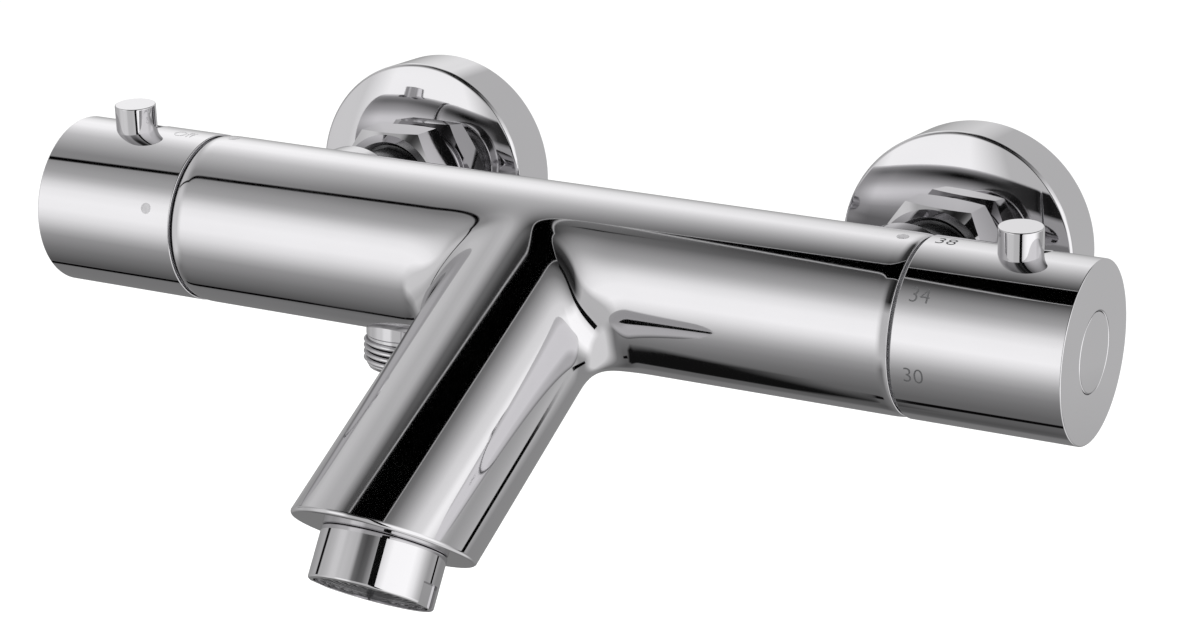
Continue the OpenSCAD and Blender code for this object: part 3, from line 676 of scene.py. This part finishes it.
def button_shell(sizes, kind, side):
    """The push button with its flange and stem."""
    x = side*(span_x(f"{kind}_knob")[1] - BUTTON_IN)
    place = Place(x*RIGHT + ON_AXIS, [0.0, -math.sin(BUTTON_LEAN), math.cos(BUTTON_LEAN)], RIGHT)
    r, top = sizes.button_radius, sizes.bar_radius + 6*MM
    corners = [*in_mm((0, 7.3), (2, 7.3), (2, 15.9), (6.15, 15.9), (6.15, 17.1)),
               (r, 17.1*MM), (r, top, sizes.button_edge), (0, top)]
    return lathed(f"{kind}_button_shell", place, outline(corners), 96)


class VALVE_OT_knobs(Step, bpy.types.Operator):
    """Makes both knobs with their caps and push buttons"""
    bl_idname = "valve.knobs"
    bl_label = "Knobs"

    def make(self, sizes, finish):
        for kind, (side, knob_body, button_body) in KNOBS.items():
            made = ((knob_shell(sizes, kind, side), knob_body, "knob"),
                    (cap_shell(kind, side), knob_body, "cap"),
                    (button_shell(sizes, kind, side), button_body, "button"))
            for piece, body, node in made:
                finish_piece(piece, finish["turned_chrome"], body, f"{kind}_{node}")


def word_mesh(name, text, height):
    """A flat word or number, as tall as this in its capitals."""
    curve = bpy.data.curves.new(name, "FONT")
    size = height/0.7
    curve.body, curve.size, curve.offset = text, size, -0.012*size
    curve.align_x = curve.align_y = "CENTER"
    holder = new_object(name, curve)
    bpy.context.view_layer.update()
    mesh = bpy.data.meshes.new_from_object(holder.evaluated_get(bpy.context.evaluated_depsgraph_get()))
    bpy.data.objects.remove(holder)
    return mesh


def dot_mesh(name, width):
    """A flat round mark."""
    work = bmesh.new()
    bmesh.ops.create_circle(work, cap_ends=True, segments=40, radius=width/2)
    return from_bmesh(work, bpy.data.meshes.new(name))


def laid_on_bar(name, mesh, radius, x, angle):
    """Wraps a flat mesh round the bar: its X runs along the bar and its Y towards the wall at the top.

    angle is from the top towards the front.
    """
    work = bmesh.new()
    work.from_mesh(mesh)
    low, high = min(v.co.y for v in work.verts), max(v.co.y for v in work.verts)
    for cut in np.arange(low, high, 0.4*MM)[1:]:
        geometry = [*work.verts, *work.edges, *work.faces]
        bmesh.ops.bisect_plane(work, geom=geometry, plane_co=(0, cut, 0), plane_no=(0, 1, 0))
    for v in work.verts:
        a, r = angle - v.co.y/radius, radius + 0.02*MM + v.co.z
        v.co = (x + v.co.x, AXIS_Y - r*math.sin(a), r*math.cos(a))
    return new_object(name, from_bmesh(work, mesh))


class VALVE_OT_marks(Step, bpy.types.Operator):
    """Etches the temperatures, the off mark and the index dots"""
    bl_idname = "valve.marks"
    bl_label = "Marks"

    def make(self, sizes, finish):
        # Name, text or none for a dot, size and place along the bar in mm, degrees from the top, body
        # and finish
        marks = (("mark_38", "38", 3.6, 99.0, 5.5, "temperature_control", "dark_mark"),
                 ("mark_34", "34", 3.6, 99.4, 55.4, "temperature_control", "pale_mark"),
                 ("mark_30", "30", 3.6, 99.8, 105.9, "temperature_control", "pale_mark"),
                 ("mark_off", "Off", 3.2, -102.0, 7.0, "flow_control", "faint_mark"),
                 ("mark_flow", "", 2.7, -101.4, 74.8, "flow_control", "faint_mark"),
                 ("index_temperature", "", 2.8, 89.0, 7.2, "valve", "faint_mark"),
                 ("index_flow", "", 2.8, -89.0, 0.0, "valve", "faint_mark"))
        for name, text, size, x, angle, body, mark in marks:
            mesh = word_mesh(name, text, size*MM) if text else dot_mesh(name, size*MM)
            piece = laid_on_bar(name, mesh, sizes.bar_radius, x*MM, math.radians(angle))
            finish_piece(piece, finish[mark], body)


def nut_shell(name, place, low, high, turn):
    """A hexagon nut with chamfered corners on both faces and a flared mouth."""
    flat, bore, mouth, lip, flare = (size*MM for size in (14.5, 13.27, 11.2, 2.5, 0.9))
    face, rise = flat*0.965, math.tan(math.radians(30))
    shell = Shell()
    for way in turn + circle(6):
        a = way + np.linspace(-math.pi/6, math.pi/6, 17)
        hexed, spin = (flat/np.cos(a - way))[:, None], spokes(a)
        fall = (hexed - face)*rise
        front, back = hexed*spin + (high - fall)*UP, hexed*spin + (low + fall)*UP
        shell.grid(place, [back, front], spokes(way))
        for z, edge, sign in ((high, front, 1), (low, back, -1)):
            shell.grid(place, [edge, face*spin + z*UP], rise*spin + sign*UP)
    inside = [(face, high), (mouth + flare, high, 0.1*MM), (mouth, high - flare, 0.1*MM),
              (mouth, high - lip), (bore, high - lip), (bore, low), (face, low)]
    turned(shell, place, outline(inside), 96)
    return shell.build(name)


def rosette_shell(name, place, radius):
    """A wall cover: a crowned face that falls away faster towards its rounded rim, and a hollow back."""
    depth, rise, hub, edge, wall, power = 15.2*MM, 1.9*MM, 13.35*MM, 1.1*MM, 1.2*MM, 3.5
    shoulder = radius - edge

    def face(r):
        return depth + rise*(1 - (r/shoulder)**power)

    def fall(r):
        return rise*power/shoulder*(r/shoulder)**(power - 1)

    start = math.atan(fall(shoulder))
    rim = [(shoulder + edge*(math.sin(a) - math.sin(start)), depth + edge*(math.cos(a) - math.cos(start)),
            math.sin(a), math.cos(a)) for a in np.linspace(math.pi/2, start, 11)]
    full, inner = rim[0][0], rim[0][0] - wall
    crown = [(r, face(r), fall(r), 1.0) for r in np.linspace(shoulder, hub, 25)]
    under = [(r, face(r) - wall, -fall(r), -1.0) for r in np.linspace(hub, inner, 13)]
    runs = [[(full, 0, 1, 0), (full, rim[0][1], 1, 0)], rim, crown,
            [(hub, crown[-1][1], -1, 0), (hub, under[0][1], -1, 0)], under,
            [(inner, under[-1][1], -1, 0), (inner, 0, -1, 0)], [(inner, 0, 0, -1), (full, 0, 0, -1)]]
    return lathed(name, place, runs, 192)


def union_shell(name, place, offset):
    """The eccentric union: nut thread's core, wall thread's core on its offset place, all bored."""
    shell = Shell()
    for at, corners in (
            (place, ((12.4, 6), (12.4, 24.1, 0.4), (7.5, 24.1), (7.5, 7.5), (0, 7.5))),
            (place, ((0, 6), (12.4, 6))),
            (offset, ((6.5, -14), (9.5, -14, 0.6), (9.5, 0), (12, 0, 0.3), (12, 10, 0.3), (0, 10))),
            (offset, ((6.5, -14), (6.5, 8.5), (0, 8.5)))):
        turned(shell, at, outline(in_mm(*corners)), 120)
    return shell.build(name)


def thread_tree(material):
    """Node tree that winds a thread: a square wire on its corner along a helix, fading at both ends."""
    tree = bpy.data.node_groups.new("winds_thread", "GeometryNodeTree")
    for label in ("Radius", "Pitch", "Turns", "Depth"):
        tree.interface.new_socket(label, in_out="INPUT", socket_type="NodeSocketFloat")
    tree.interface.new_socket("Geometry", in_out="OUTPUT", socket_type="NodeSocketGeometry")
    w = Wiring(tree)
    given = w.add("NodeGroupInput").outputs
    turns, radius = given["Turns"], given["Radius"]
    spiral = w.add("GeometryNodeCurveSpiral", (
        ("Resolution", 72), ("Rotations", turns), ("Start Radius", radius), ("End Radius", radius),
        ("Height", w.math("MULTIPLY", turns, given["Pitch"]))))
    upright = w.add("GeometryNodeSetCurveNormal", (("Curve", spiral.outputs[0]),), mode="Z_UP")
    along = w.add("GeometryNodeSplineParameter").outputs["Factor"]
    ends = w.math("MINIMUM", along, w.math("SUBTRACT", 1.0, along))
    fade = w.math("MULTIPLY", ends, w.math("MULTIPLY", turns, 2.5), clamp=True)
    wire = w.add("GeometryNodeCurvePrimitiveCircle", (("Resolution", 4), ("Radius", given["Depth"])))
    sweep = w.add("GeometryNodeCurveToMesh", (("Curve", upright.outputs[0]), ("Scale", fade),
                  ("Profile Curve", wire.outputs[0]), ("Fill Caps", True)))
    realize = w.add("GeometryNodeRealizeInstances", ((0, sweep.outputs[0]),))
    coat = w.add("GeometryNodeSetMaterial", (("Geometry", realize.outputs[0]), ("Material", material)))
    w.add("NodeGroupOutput", ((0, coat.outputs[0]),))
    return tree


def wound(name, tree, radius, pitch, turns, place):
    """Runs the thread's node tree and returns a plain mesh piece, laid in the place."""
    maker = new_object(name + "_maker", bpy.data.meshes.new(name + "_maker"))
    modifier = maker.modifiers.new("grow", "NODES")
    modifier.node_group = tree
    values = {"Radius": radius, "Pitch": pitch, "Turns": turns, "Depth": 0.8*MM}
    for item in tree.interface.items_tree:
        if item.in_out == "INPUT":
            modifier[item.identifier] = values[item.name]
    mesh = bpy.data.meshes.new_from_object(maker.evaluated_get(bpy.context.evaluated_depsgraph_get()))
    bpy.data.objects.remove(maker)
    co = np.zeros(len(mesh.vertices)*3)
    mesh.vertices.foreach_get("co", co)
    mesh.vertices.foreach_set("co", place.points(co.reshape(-1, 3)).ravel())
    work = bmesh.new()
    work.from_mesh(mesh)
    bmesh.ops.recalc_face_normals(work, faces=work.faces)
    mesh.name = name
    return new_object(name, from_bmesh(work, mesh))


class VALVE_OT_unions(Step, bpy.types.Operator):
    """Makes the rosettes, unions, nuts and tailpieces on the wall side"""
    bl_idname = "valve.unions"
    bl_label = "Inlet unions"

    def make(self, sizes, finish):
        chrome, cut, plain = finish["turned_chrome"], finish["thread_chrome"], finish["plain_chrome"]
        tree = thread_tree(cut)
        for supply, (side, lean) in SUPPLIES.items():
            place = Place(side*SUPPLY_OUT*RIGHT, -TO_WALL, RIGHT)
            offset = place.moved(y=-UNION_DROP)
            low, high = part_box(f"{supply}_union_nut")
            nut = nut_shell(f"{supply}_nut_shell", place, -high.y, -low.y, math.pi/6 + lean)
            finish_piece(nut, chrome, f"{supply}_nut", f"{supply}_union_nut")
            low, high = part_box(f"{supply}_rosette")
            rosette = rosette_shell(f"{supply}_rosette_shell", place, (high.x - low.x)/2)
            finish_piece(rosette, chrome, "valve", f"{supply}_rosette")
            union = union_shell(f"{supply}_union_shell", place, offset)
            finish_piece(union, cut, "valve", f"{supply}_union")
            for label, at, r, start, turns in (("wall", offset, 9.65, -13.2, 6.6),
                                               ("nut", place, 12.4, 15.0, 4.6)):
                thread = wound(f"{supply}_{label}_thread", tree, r*MM, sizes.thread_pitch, turns,
                               at.moved(z=start*MM))
                finish_piece(thread, cut, "valve")
            corners = in_mm((7.8, 26.1), (11.95, 26.1), (11.95, 28.3), (10.3, 28.3), (10.3, 58.3, 0.5),
                            (7.8, 58.3))
            tail = lathed(f"{supply}_tailpiece_shell", place, outline(corners, closed=True), 96)
            finish_piece(tail, plain, "valve", f"{supply}_tailpiece")


class VALVE_OT_hose_outlet(Step, bpy.types.Operator):
    """Makes the threaded hose outlet under the body"""
    bl_idname = "valve.hose_outlet"
    bl_label = "Hose outlet"

    def make(self, sizes, finish):
        place = Place(middle_x("hose_outlet")*RIGHT + ON_AXIS, -UP, RIGHT)
        end, core = -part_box("hose_outlet")[0].z, 9.55*MM
        corners = [*in_mm((6.5, 17.3), (9.78, 17.3), (9.78, 21.2, 0.15)), (core, 21.5*MM),
                   (core, end - 0.9*MM), (core - 0.5*MM, end, 0.1*MM), (6.5*MM, end, 0.3*MM)]
        nipple = lathed("hose_outlet_shell", place, outline(corners, closed=True), 128)
        finish_piece(nipple, finish["turned_chrome"], "valve", "hose_outlet")
        tree = thread_tree(finish["thread_chrome"])
        thread = wound("hose_outlet_thread", tree, core + 0.05*MM, 1.5*MM, 4.6, place.moved(z=21.9*MM))
        finish_piece(thread, finish["thread_chrome"], "valve")


def housing_wall(shell, place, r, rim, low, high):
    """The aerator's outer wall and lower face, with a spanner slot at each side. Returns its angles."""
    half, shelf, flat = math.asin(3.25*MM/r), high - 5*MM, r - 1*MM
    corner = flat/math.cos(half)
    top = [(rim, low), (r, low, 0.4*MM), (r, shelf)]
    wall = outline([*top, (r, high, 0.6*MM), (corner, high), (rim, high)], arc_steps=8)
    edge = np.array([spot[:2] for run in wall for spot in run
                     if spot[1] > shelf - WELD and spot[0] > corner - WELD])
    used = []
    for centre in (0, math.pi):
        slot = centre + np.linspace(-half, half, 9)
        plain = centre + np.linspace(half, math.pi - half, 81)
        used += [*slot[:-1], *plain[:-1]]
        turned(shell, place, wall, angles=plain)
        turned(shell, place, outline(top, arc_steps=8), angles=slot)
        spin = spokes(slot)
        cut = flat/np.cos(slot - centre)[:, None]*spin
        rows = [r*spin + shelf*UP, cut + shelf*UP, cut + high*UP, rim*spin + high*UP]
        for a, b, normal in zip(rows, rows[1:], (UP, math.cos(centre)*RIGHT, UP)):
            shell.grid(place, [a, b], normal)
        for end, sign in ((slot[0], 1), (slot[-1], -1)):
            out = spokes(end)
            rows = [edge[:, :1]*out + edge[:, 1:]*UP, corner*out + edge[:, 1:]*UP]
            shell.grid(place, rows, sign*np.cross(UP, out))
    return np.array([*used, used[0] + 2*math.pi])


class VALVE_OT_aerator(Step, bpy.types.Operator):
    """Makes the aerator's housing and its jet former"""
    bl_idname = "valve.aerator"
    bl_label = "Aerator"

    def make(self, sizes, finish):
        flat = np.cross(RIGHT, ahead(MOUTH_SLOPE))*-1
        at = ON_AXIS + sizes.spout_reach*ahead(SPOUT_SLOPE) - SOCKET_SHIFT*flat
        place = Place(at, ahead(MOUTH_SLOPE), RIGHT)
        shell = Shell()
        angles = housing_wall(shell, place, 14.2*MM, 13*MM, 0.05*MM, 12.1*MM)
        inside = in_mm((13, 12.1), (12.9, 12.1, 0.08), (12.7, 5.9), (9.6, 5.9), (9.6, -4.4), (12, -4.4),
                       (12, 0.05), (13, 0.05))
        turned(shell, place, outline(inside), angles=angles)
        housing = shell.build("aerator_housing_shell")
        finish_piece(housing, finish["turned_chrome"], "valve", "aerator_housing")
        rings = [(0, 7.4), (12.6, 7.4), (12.6, 10.9, 0.3)]
        for outer in (11.4 - 2.1*k for k in range(5)):
            rings += [(outer, 10.9, 0.2), (outer - 0.3, 10.1, 0.15), (outer - 1.1, 10.1, 0.15),
                      (outer - 1.4, 10.9, 0.2)]
        insert = lathed("aerator_insert_shell", place, outline(in_mm(*rings, (0, 10.9)), arc_steps=3), 96)
        finish_piece(insert, finish["jet_plastic"], "valve", "aerator_insert", slot="grey_plastic")


class VALVE_OT_inner_parts(Step, bpy.types.Operator):
    """Gives every carried-over part the finish of its record slot"""
    bl_idname = "valve.inner_parts"
    bl_label = "Inner parts"

    def make(self, sizes, finish):
        other_names = {"polished_chrome": "turned_chrome", "white_plastic": "white_acetal",
                       "blue_plastic": "blue_acetal", "ceramic": "alumina", "copper": "copper_cup"}
        for part in frame["record"]["subparts"]:
            node, slot = frame["nodes"][part["node"]], part["material_slot"]
            node.data.materials.clear()
            node.data.materials.append(finish[other_names.get(slot, slot)])


class VALVE_OT_springs(Step, bpy.types.Operator):
    """Puts in copies of the springs in stainless steel, on the bodies that carry them"""
    bl_idname = "valve.springs"
    bl_label = "Springs"

    def make(self, sizes, finish):
        behaviour = frame["record"]["behaviour"]
        body_of = {node: body for body, nodes in behaviour["bodies"].items() for node in nodes}
        soft_nodes = [(joint, soft) for joint in behaviour["joints"]
                      for soft in joint.get("deforming_nodes", ())]
        for joint, soft in soft_nodes:
            name, axis = soft["node"], np.array(joint["axis"], float)
            mesh = frame["nodes"][name].data.copy()
            mesh.transform(frame["nodes"][name].matrix_world)
            piece = new_object(name + "_wire", mesh)
            finish_piece(piece, finish["stainless_steel"], body_of[name], name, slot="stainless_steel")
            points = np.array([v.co for v in mesh.vertices])
            reach = points @ axis
            # The record names the coordinate at which the spring's fixed end lies
            way = soft["mode"][-1]
            fixed = min((points[reach.argmin()], points[reach.argmax()]),
                        key=lambda end: abs(end["xyz".index(way)] - soft[f"fixed_end_{way}_m"]))
            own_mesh(piece)


def screen(grey):
    """The light that shows as this share of screen white off the chrome."""
    linear = grey/12.92 if grey <= 0.04045 else ((grey + 0.055)/1.055)**2.4
    return linear/0.91


def card(w, colour, way, corners, grey, soft, rim=0.0, rim_grey=1.0):
    """Lays a flat card over the studio's light, seen from the object through its corner directions.

    soft and rim are the widths of its blurred edge and of its border, in degrees.
    """
    corners = unit(corners)
    middle = corners.sum(0)
    depth = None
    for a, b in zip(corners, np.roll(corners, -1, 0)):
        normal = unit(np.cross(a, b))
        side = w.dot(way, tuple(normal if normal @ middle > 0 else -normal))
        depth = side if depth is None else w.math("MINIMUM", depth, side)
    blur, wide = math.radians(soft), math.radians(rim)
    if rim:
        colour = w.mix(w.remap(depth, -wide - blur, blur - wide), colour, screen(rim_grey))
    return w.mix(w.remap(depth, -blur, blur), colour, screen(grey))


# Greys that the chrome shows. The arcs go by the angle up from the front and on over the top, at the
# bar's left and right ends. The sides go by the height, and the horizon from the front to the right
LEFT_ARC = ((-180, 0.66), (-162, 0.54), (-150, 0.455), (-104, 0.44), (-97, 0.40), (-93, 0.30), (-81, 0.37),
            (-66, 0.445), (-54, 0.515), (-45, 0.565), (-36, 0.67), (-27, 0.78), (-18, 0.865), (-6, 0.93),
            (9, 0.94), (21, 0.91), (30, 0.835), (39, 0.70), (46, 0.62), (57, 0.57), (68, 0.50), (78, 0.51),
            (87, 0.58), (99, 0.66), (111, 0.73), (123, 0.84), (135, 0.94), (147, 0.96), (159, 0.90),
            (171, 0.77), (180, 0.68))
RIGHT_ARC = ((-180, 0.64), (-158, 0.54), (-147, 0.46), (-126, 0.45), (-120, 0.33), (-112, 0.30),
             (-104, 0.34), (-93, 0.36), (-81, 0.375), (-66, 0.43), (-54, 0.485), (-42, 0.575), (-33, 0.67),
             (-24, 0.78), (-15, 0.88), (-6, 0.945), (12, 0.93), (24, 0.86), (33, 0.74), (42, 0.625),
             (51, 0.55), (60, 0.44), (68, 0.27), (78, 0.08), (86, 0.08), (93, 0.28), (102, 0.46),
             (114, 0.64), (126, 0.78), (140, 0.91), (158, 0.85), (180, 0.66))
LEFT_SIDE = ((-60, 0.45), (-30, 0.50), (-8, 0.66), (10, 0.75), (31, 0.73), (45, 0.67), (54, 0.62),
             (63, 0.52), (68, 0.42), (75, 0.25), (90, 0.10))
RIGHT_SIDE = ((-60, 0.45), (-30, 0.50), (-8, 0.64), (6, 0.72), (14, 0.76), (20, 0.94), (27, 0.94),
              (32, 0.85), (40, 0.82), (45, 0.75), (54, 0.60), (63, 0.43), (68, 0.38), (75, 0.20),
              (90, 0.10))
HORIZON = ((-180, 0.50), (-135, 0.56), (-115, 0.60), (-93, 0.68), (-83, 0.66), (-72, 0.70), (-61, 0.77),
           (-49, 0.78), (-36, 0.77), (-22, 0.70), (12, 0.69), (28, 0.72), (40, 0.90), (53, 0.97),
           (93, 0.98), (104, 0.90), (115, 0.74), (126, 0.60), (138, 0.53), (180, 0.50))
# Thin black joints of the studio's corners: two directions and half the width as an angle in radians
JOINTS = (((-0.52, -0.22, 1.0), (-0.92, -0.56, 1.0), 0.022),
          ((-0.62, -0.37, 0.69), (-0.93, -0.16, 0.33), 0.022),
          ((-0.93, -0.16, 0.33), (-0.97, 0.26, -0.14), 0.022),
          ((-0.86, 0.20, -1.0), (-0.60, 0.075, -1.0), 0.030),
          ((-0.60, 0.075, -1.0), (-0.48, 0.06, -1.0), 0.030),
          ((0.666, 0.605, -0.542), (0.52, 0.81, -0.25), 0.045),
          ((-0.91, 0.43, 0.083), (-0.75, 0.63, 0.236), 0.022))
# The share of the studio's light that each further mirror passes on
DIMMING = 0.70
# Black cards, by the directions of their corners: over the spout, under the bar and under the left knob
OVERHEAD = ((-0.49, -0.04, 1), (0.49, 0.29, 1), (0.15, -0.40, 1), (-0.37, -0.37, 1))
UNDERNEATH = ((-0.50, -0.30, -1), (-0.44, -0.15, -1), (-0.405, 0.15, -1), (-0.40, 0.27, -1),
              (-0.45, 0.38, -1), (-0.53, 0.30, -1))
KNOB_BAND = ((-0.395, 0.01, -1), (-0.30, 0.01, -1), (-0.30, 0.09, -1), (-0.395, 0.12, -1))


def studio_light(w, way, further):
    """The light that the chrome mirrors: soft banks round the object, black cards and thin dark joints.

    further is how many mirrors the light comes by past the first. Each dims it, as real chrome walls do.
    """
    x, y, z = w.add("ShaderNodeSeparateXYZ", ((0, way),)).outputs
    front = w.math("MULTIPLY", y, -1.0)

    def bank(rise, run, stops):
        turn = w.math("ADD", w.math("DIVIDE", w.math("ARCTAN2", rise, run), 2*math.pi), 0.5)
        return w.ramp(turn, [((a + 180)/360, screen(g)) for a, g in stops])

    arcs = w.mix(w.remap(x, -0.54, -0.36), bank(z, front, LEFT_ARC), bank(z, front, RIGHT_ARC))
    aside = w.math("ABSOLUTE", x)
    sides = w.mix(w.remap(x, -0.05, 0.05), bank(z, aside, LEFT_SIDE), bank(z, aside, RIGHT_SIDE))
    high = w.math("ADD", z, w.math("MULTIPLY", w.math("MAXIMUM", y, 0.0), 0.6))
    rest = w.mix(w.remap(high, 0.42, 0.62), bank(x, front, HORIZON), sides)
    rest = w.mix(w.remap(z, -0.5, -0.7), rest, w.mix(w.remap(x, -0.15, 0.2), screen(0.42), screen(0.80)))
    wall = w.mix(w.remap(z, -0.38, -0.28), screen(0.52), screen(0.68))
    rest = w.mix(w.remap(y, 0.62, 0.78), rest, wall)
    on_arc = w.math("MINIMUM", w.remap(x, -0.70, -0.60), w.remap(x, -0.18, -0.32))
    colour = w.mix(on_arc, rest, arcs)
    # The card overhead and the joints show only at the first mirror
    direct = card(w, colour, way, OVERHEAD, 0.0, soft=0.25, rim=0.55, rim_grey=0.68)
    for start, end, half in JOINTS:
        start, end = unit(start), unit(end)
        across = half*unit(np.cross(start, end))
        corners = [start + across, start - across, end - across, end + across]
        direct = card(w, direct, way, corners, 0.0, soft=0.4)
    colour = w.mix(w.remap(further, 0.0, 1.0), direct, colour)
    colour = card(w, colour, way, UNDERNEATH, 0.06, soft=0.9)
    colour = card(w, colour, way, KNOB_BAND, 0.02, soft=0.5)
    return w.mix(w.math("POWER", DIMMING, further), 0.0, colour)


# The camera as it was solved from the photo: its place, then degrees to the right, up and of roll
CAMERA_AT = np.array([354.23, -730.67, 193.58])*MM
CAMERA_TURNS = (27.852, 15.547, 1.130)


def stage_sheet(name, corners, colour):
    """A matt sheet of the studio, not of the object. Returns it, its wiring and its shader's inputs."""
    mesh = bpy.data.meshes.new(name)
    mesh.from_pydata(corners, [], [(0, 1, 2, 3)])
    sheet = new_object(name, mesh)
    material = bpy.data.materials.new(name)
    material.use_nodes = True
    mesh.materials.append(material)
    inputs = material.node_tree.nodes["Principled BSDF"].inputs
    inputs["Base Color"].default_value = (*colour, 1.0)
    inputs["Roughness"].default_value, inputs["Specular IOR Level"].default_value = 1.0, 0.0
    return sheet, Wiring(material.node_tree), inputs


class VALVE_OT_studio(bpy.types.Operator):
    """Sets the floor, the light and the camera"""
    bl_idname = "valve.studio"
    bl_label = "Studio"

    def execute(self, context):
        scene, look = context.scene, context.scene.valve_studio
        scene.view_settings.view_transform = "Standard"
        size = 6.0
        floor_corners = [(x, y, -look.floor_drop) for x, y in ((-size, -size), (size, -size), (size, size),
                                                               (-size, size))]
        floor, w, inputs = stage_sheet("floor", floor_corners, look.floor)
        floor.visible_glossy = False
        seen = w.add("ShaderNodeLightPath").outputs["Is Camera Ray"]
        w.put(inputs["Emission Strength"], w.math("MULTIPLY", seen, 0.3))
        inputs["Emission Color"].default_value = (1, 1, 1, 1)

        scene.world = bpy.data.worlds.new("studio")
        scene.world.use_nodes = True
        w = Wiring(scene.world.node_tree)
        w.tree.nodes.clear()
        way = w.add("ShaderNodeTexCoord").outputs["Generated"]
        rays = w.add("ShaderNodeLightPath").outputs
        mirrored = w.math("MAXIMUM", rays["Is Glossy Ray"], rays["Is Transmission Ray"])
        # The world's ray depth is 2 at the first mirror
        further = w.math("MAXIMUM", w.math("SUBTRACT", rays["Ray Depth"], 2.0), 0.0)
        colour = w.mix(mirrored, look.fill, studio_light(w, way, further))
        light = w.add("ShaderNodeBackground", (("Color", w.mix(rays["Is Camera Ray"], colour, 1.0)),))
        w.add("ShaderNodeOutputWorld", (("Surface", light.outputs[0]),))

        for name, at, power in (("key", (-0.5, -0.9, 1.1), look.key),
                                ("fill", (0.9, -0.7, 0.8), look.key*0.5)):
            lamp = bpy.data.lights.new(name, "AREA")
            lamp.energy, lamp.size = power, 0.9
            holder = new_object(name, lamp)
            holder.location = at
            holder.rotation_mode = "QUATERNION"
            holder.rotation_quaternion = Vector((ON_AXIS - at)).to_track_quat("-Z", "Y")
            holder.visible_glossy = False

        # A black flag behind the lens, as a photographer's, seen only in the chrome
        back_way = unit((CAMERA_AT - ON_AXIS)*[1, 1, 0])
        behind, half_width, low, high = 0.06, 0.09, -0.6, 1.4
        centre, across = CAMERA_AT + behind*back_way, half_width*np.cross(UP, back_way)
        flag_corners = [tuple(centre + s*across + h*UP)
                        for s, h in ((-1, low), (1, low), (1, high), (-1, high))]
        flag, _, _ = stage_sheet("lens_flag", flag_corners, (0.004, 0.004, 0.004))
        for ray in ("camera", "diffuse", "shadow", "transmission"):
            setattr(flag, f"visible_{ray}", False)

        az, el, roll = (math.radians(turn) for turn in CAMERA_TURNS)
        back = np.array([math.sin(az)*math.cos(el), -math.cos(az)*math.cos(el), math.sin(el)])
        right = np.array([math.cos(az), math.sin(az), 0.0])
        up = np.cross(back, right)
        axes = [right*math.cos(roll) + up*math.sin(roll), -right*math.sin(roll) + up*math.cos(roll), back]
        data = bpy.data.cameras.new("camera")
        data.sensor_width, data.lens, data.clip_start, data.clip_end = 36.0, 99.73, 0.05, 50.0
        scene.camera = new_object("camera", data)
        view = Matrix(np.array(axes).T.tolist()).to_4x4()
        view.translation = CAMERA_AT
        scene.camera.matrix_world = view
        return {"FINISHED"}


class VALVE_PT_panel(bpy.types.Panel):
    """Lists the making steps and the sizes, finishes and studio of the valve"""
    bl_label = "Valve"
    bl_idname = "VALVE_PT_panel"
    bl_space_type = "VIEW_3D"
    bl_region_type = "UI"
    bl_category = "Valve"

    def draw(self, context):
        for step in STEPS:
            self.layout.operator(step.bl_idname)
        for name in GROUPS:
            group, box = getattr(context.scene, name), self.layout.box()
            for key in group.__annotations__:
                box.prop(group, key)


GROUPS = {"valve_sizes": ValveSizes, "valve_finish": ValveFinish, "valve_studio": ValveStudio}
STEPS = (VALVE_OT_inner_parts, VALVE_OT_springs, VALVE_OT_body, VALVE_OT_knobs, VALVE_OT_marks,
         VALVE_OT_unions, VALVE_OT_hose_outlet, VALVE_OT_aerator, VALVE_OT_studio)


def register():
    for cls in (*GROUPS.values(), *STEPS, VALVE_PT_panel):
        bpy.utils.register_class(cls)
    for name, group in GROUPS.items():
        setattr(bpy.types.Scene, name, bpy.props.PointerProperty(type=group))


def unregister():
    for name in GROUPS:
        delattr(bpy.types.Scene, name)
    for cls in reversed((*GROUPS.values(), *STEPS, VALVE_PT_panel)):
        bpy.utils.unregister_class(cls)


def main():
    register()
    for step in STEPS:
        group, name = step.bl_idname.split(".")
        getattr(getattr(bpy.ops, group), name)()
    bpy.context.view_layer.update()


if __name__ == "__main__":
    main()
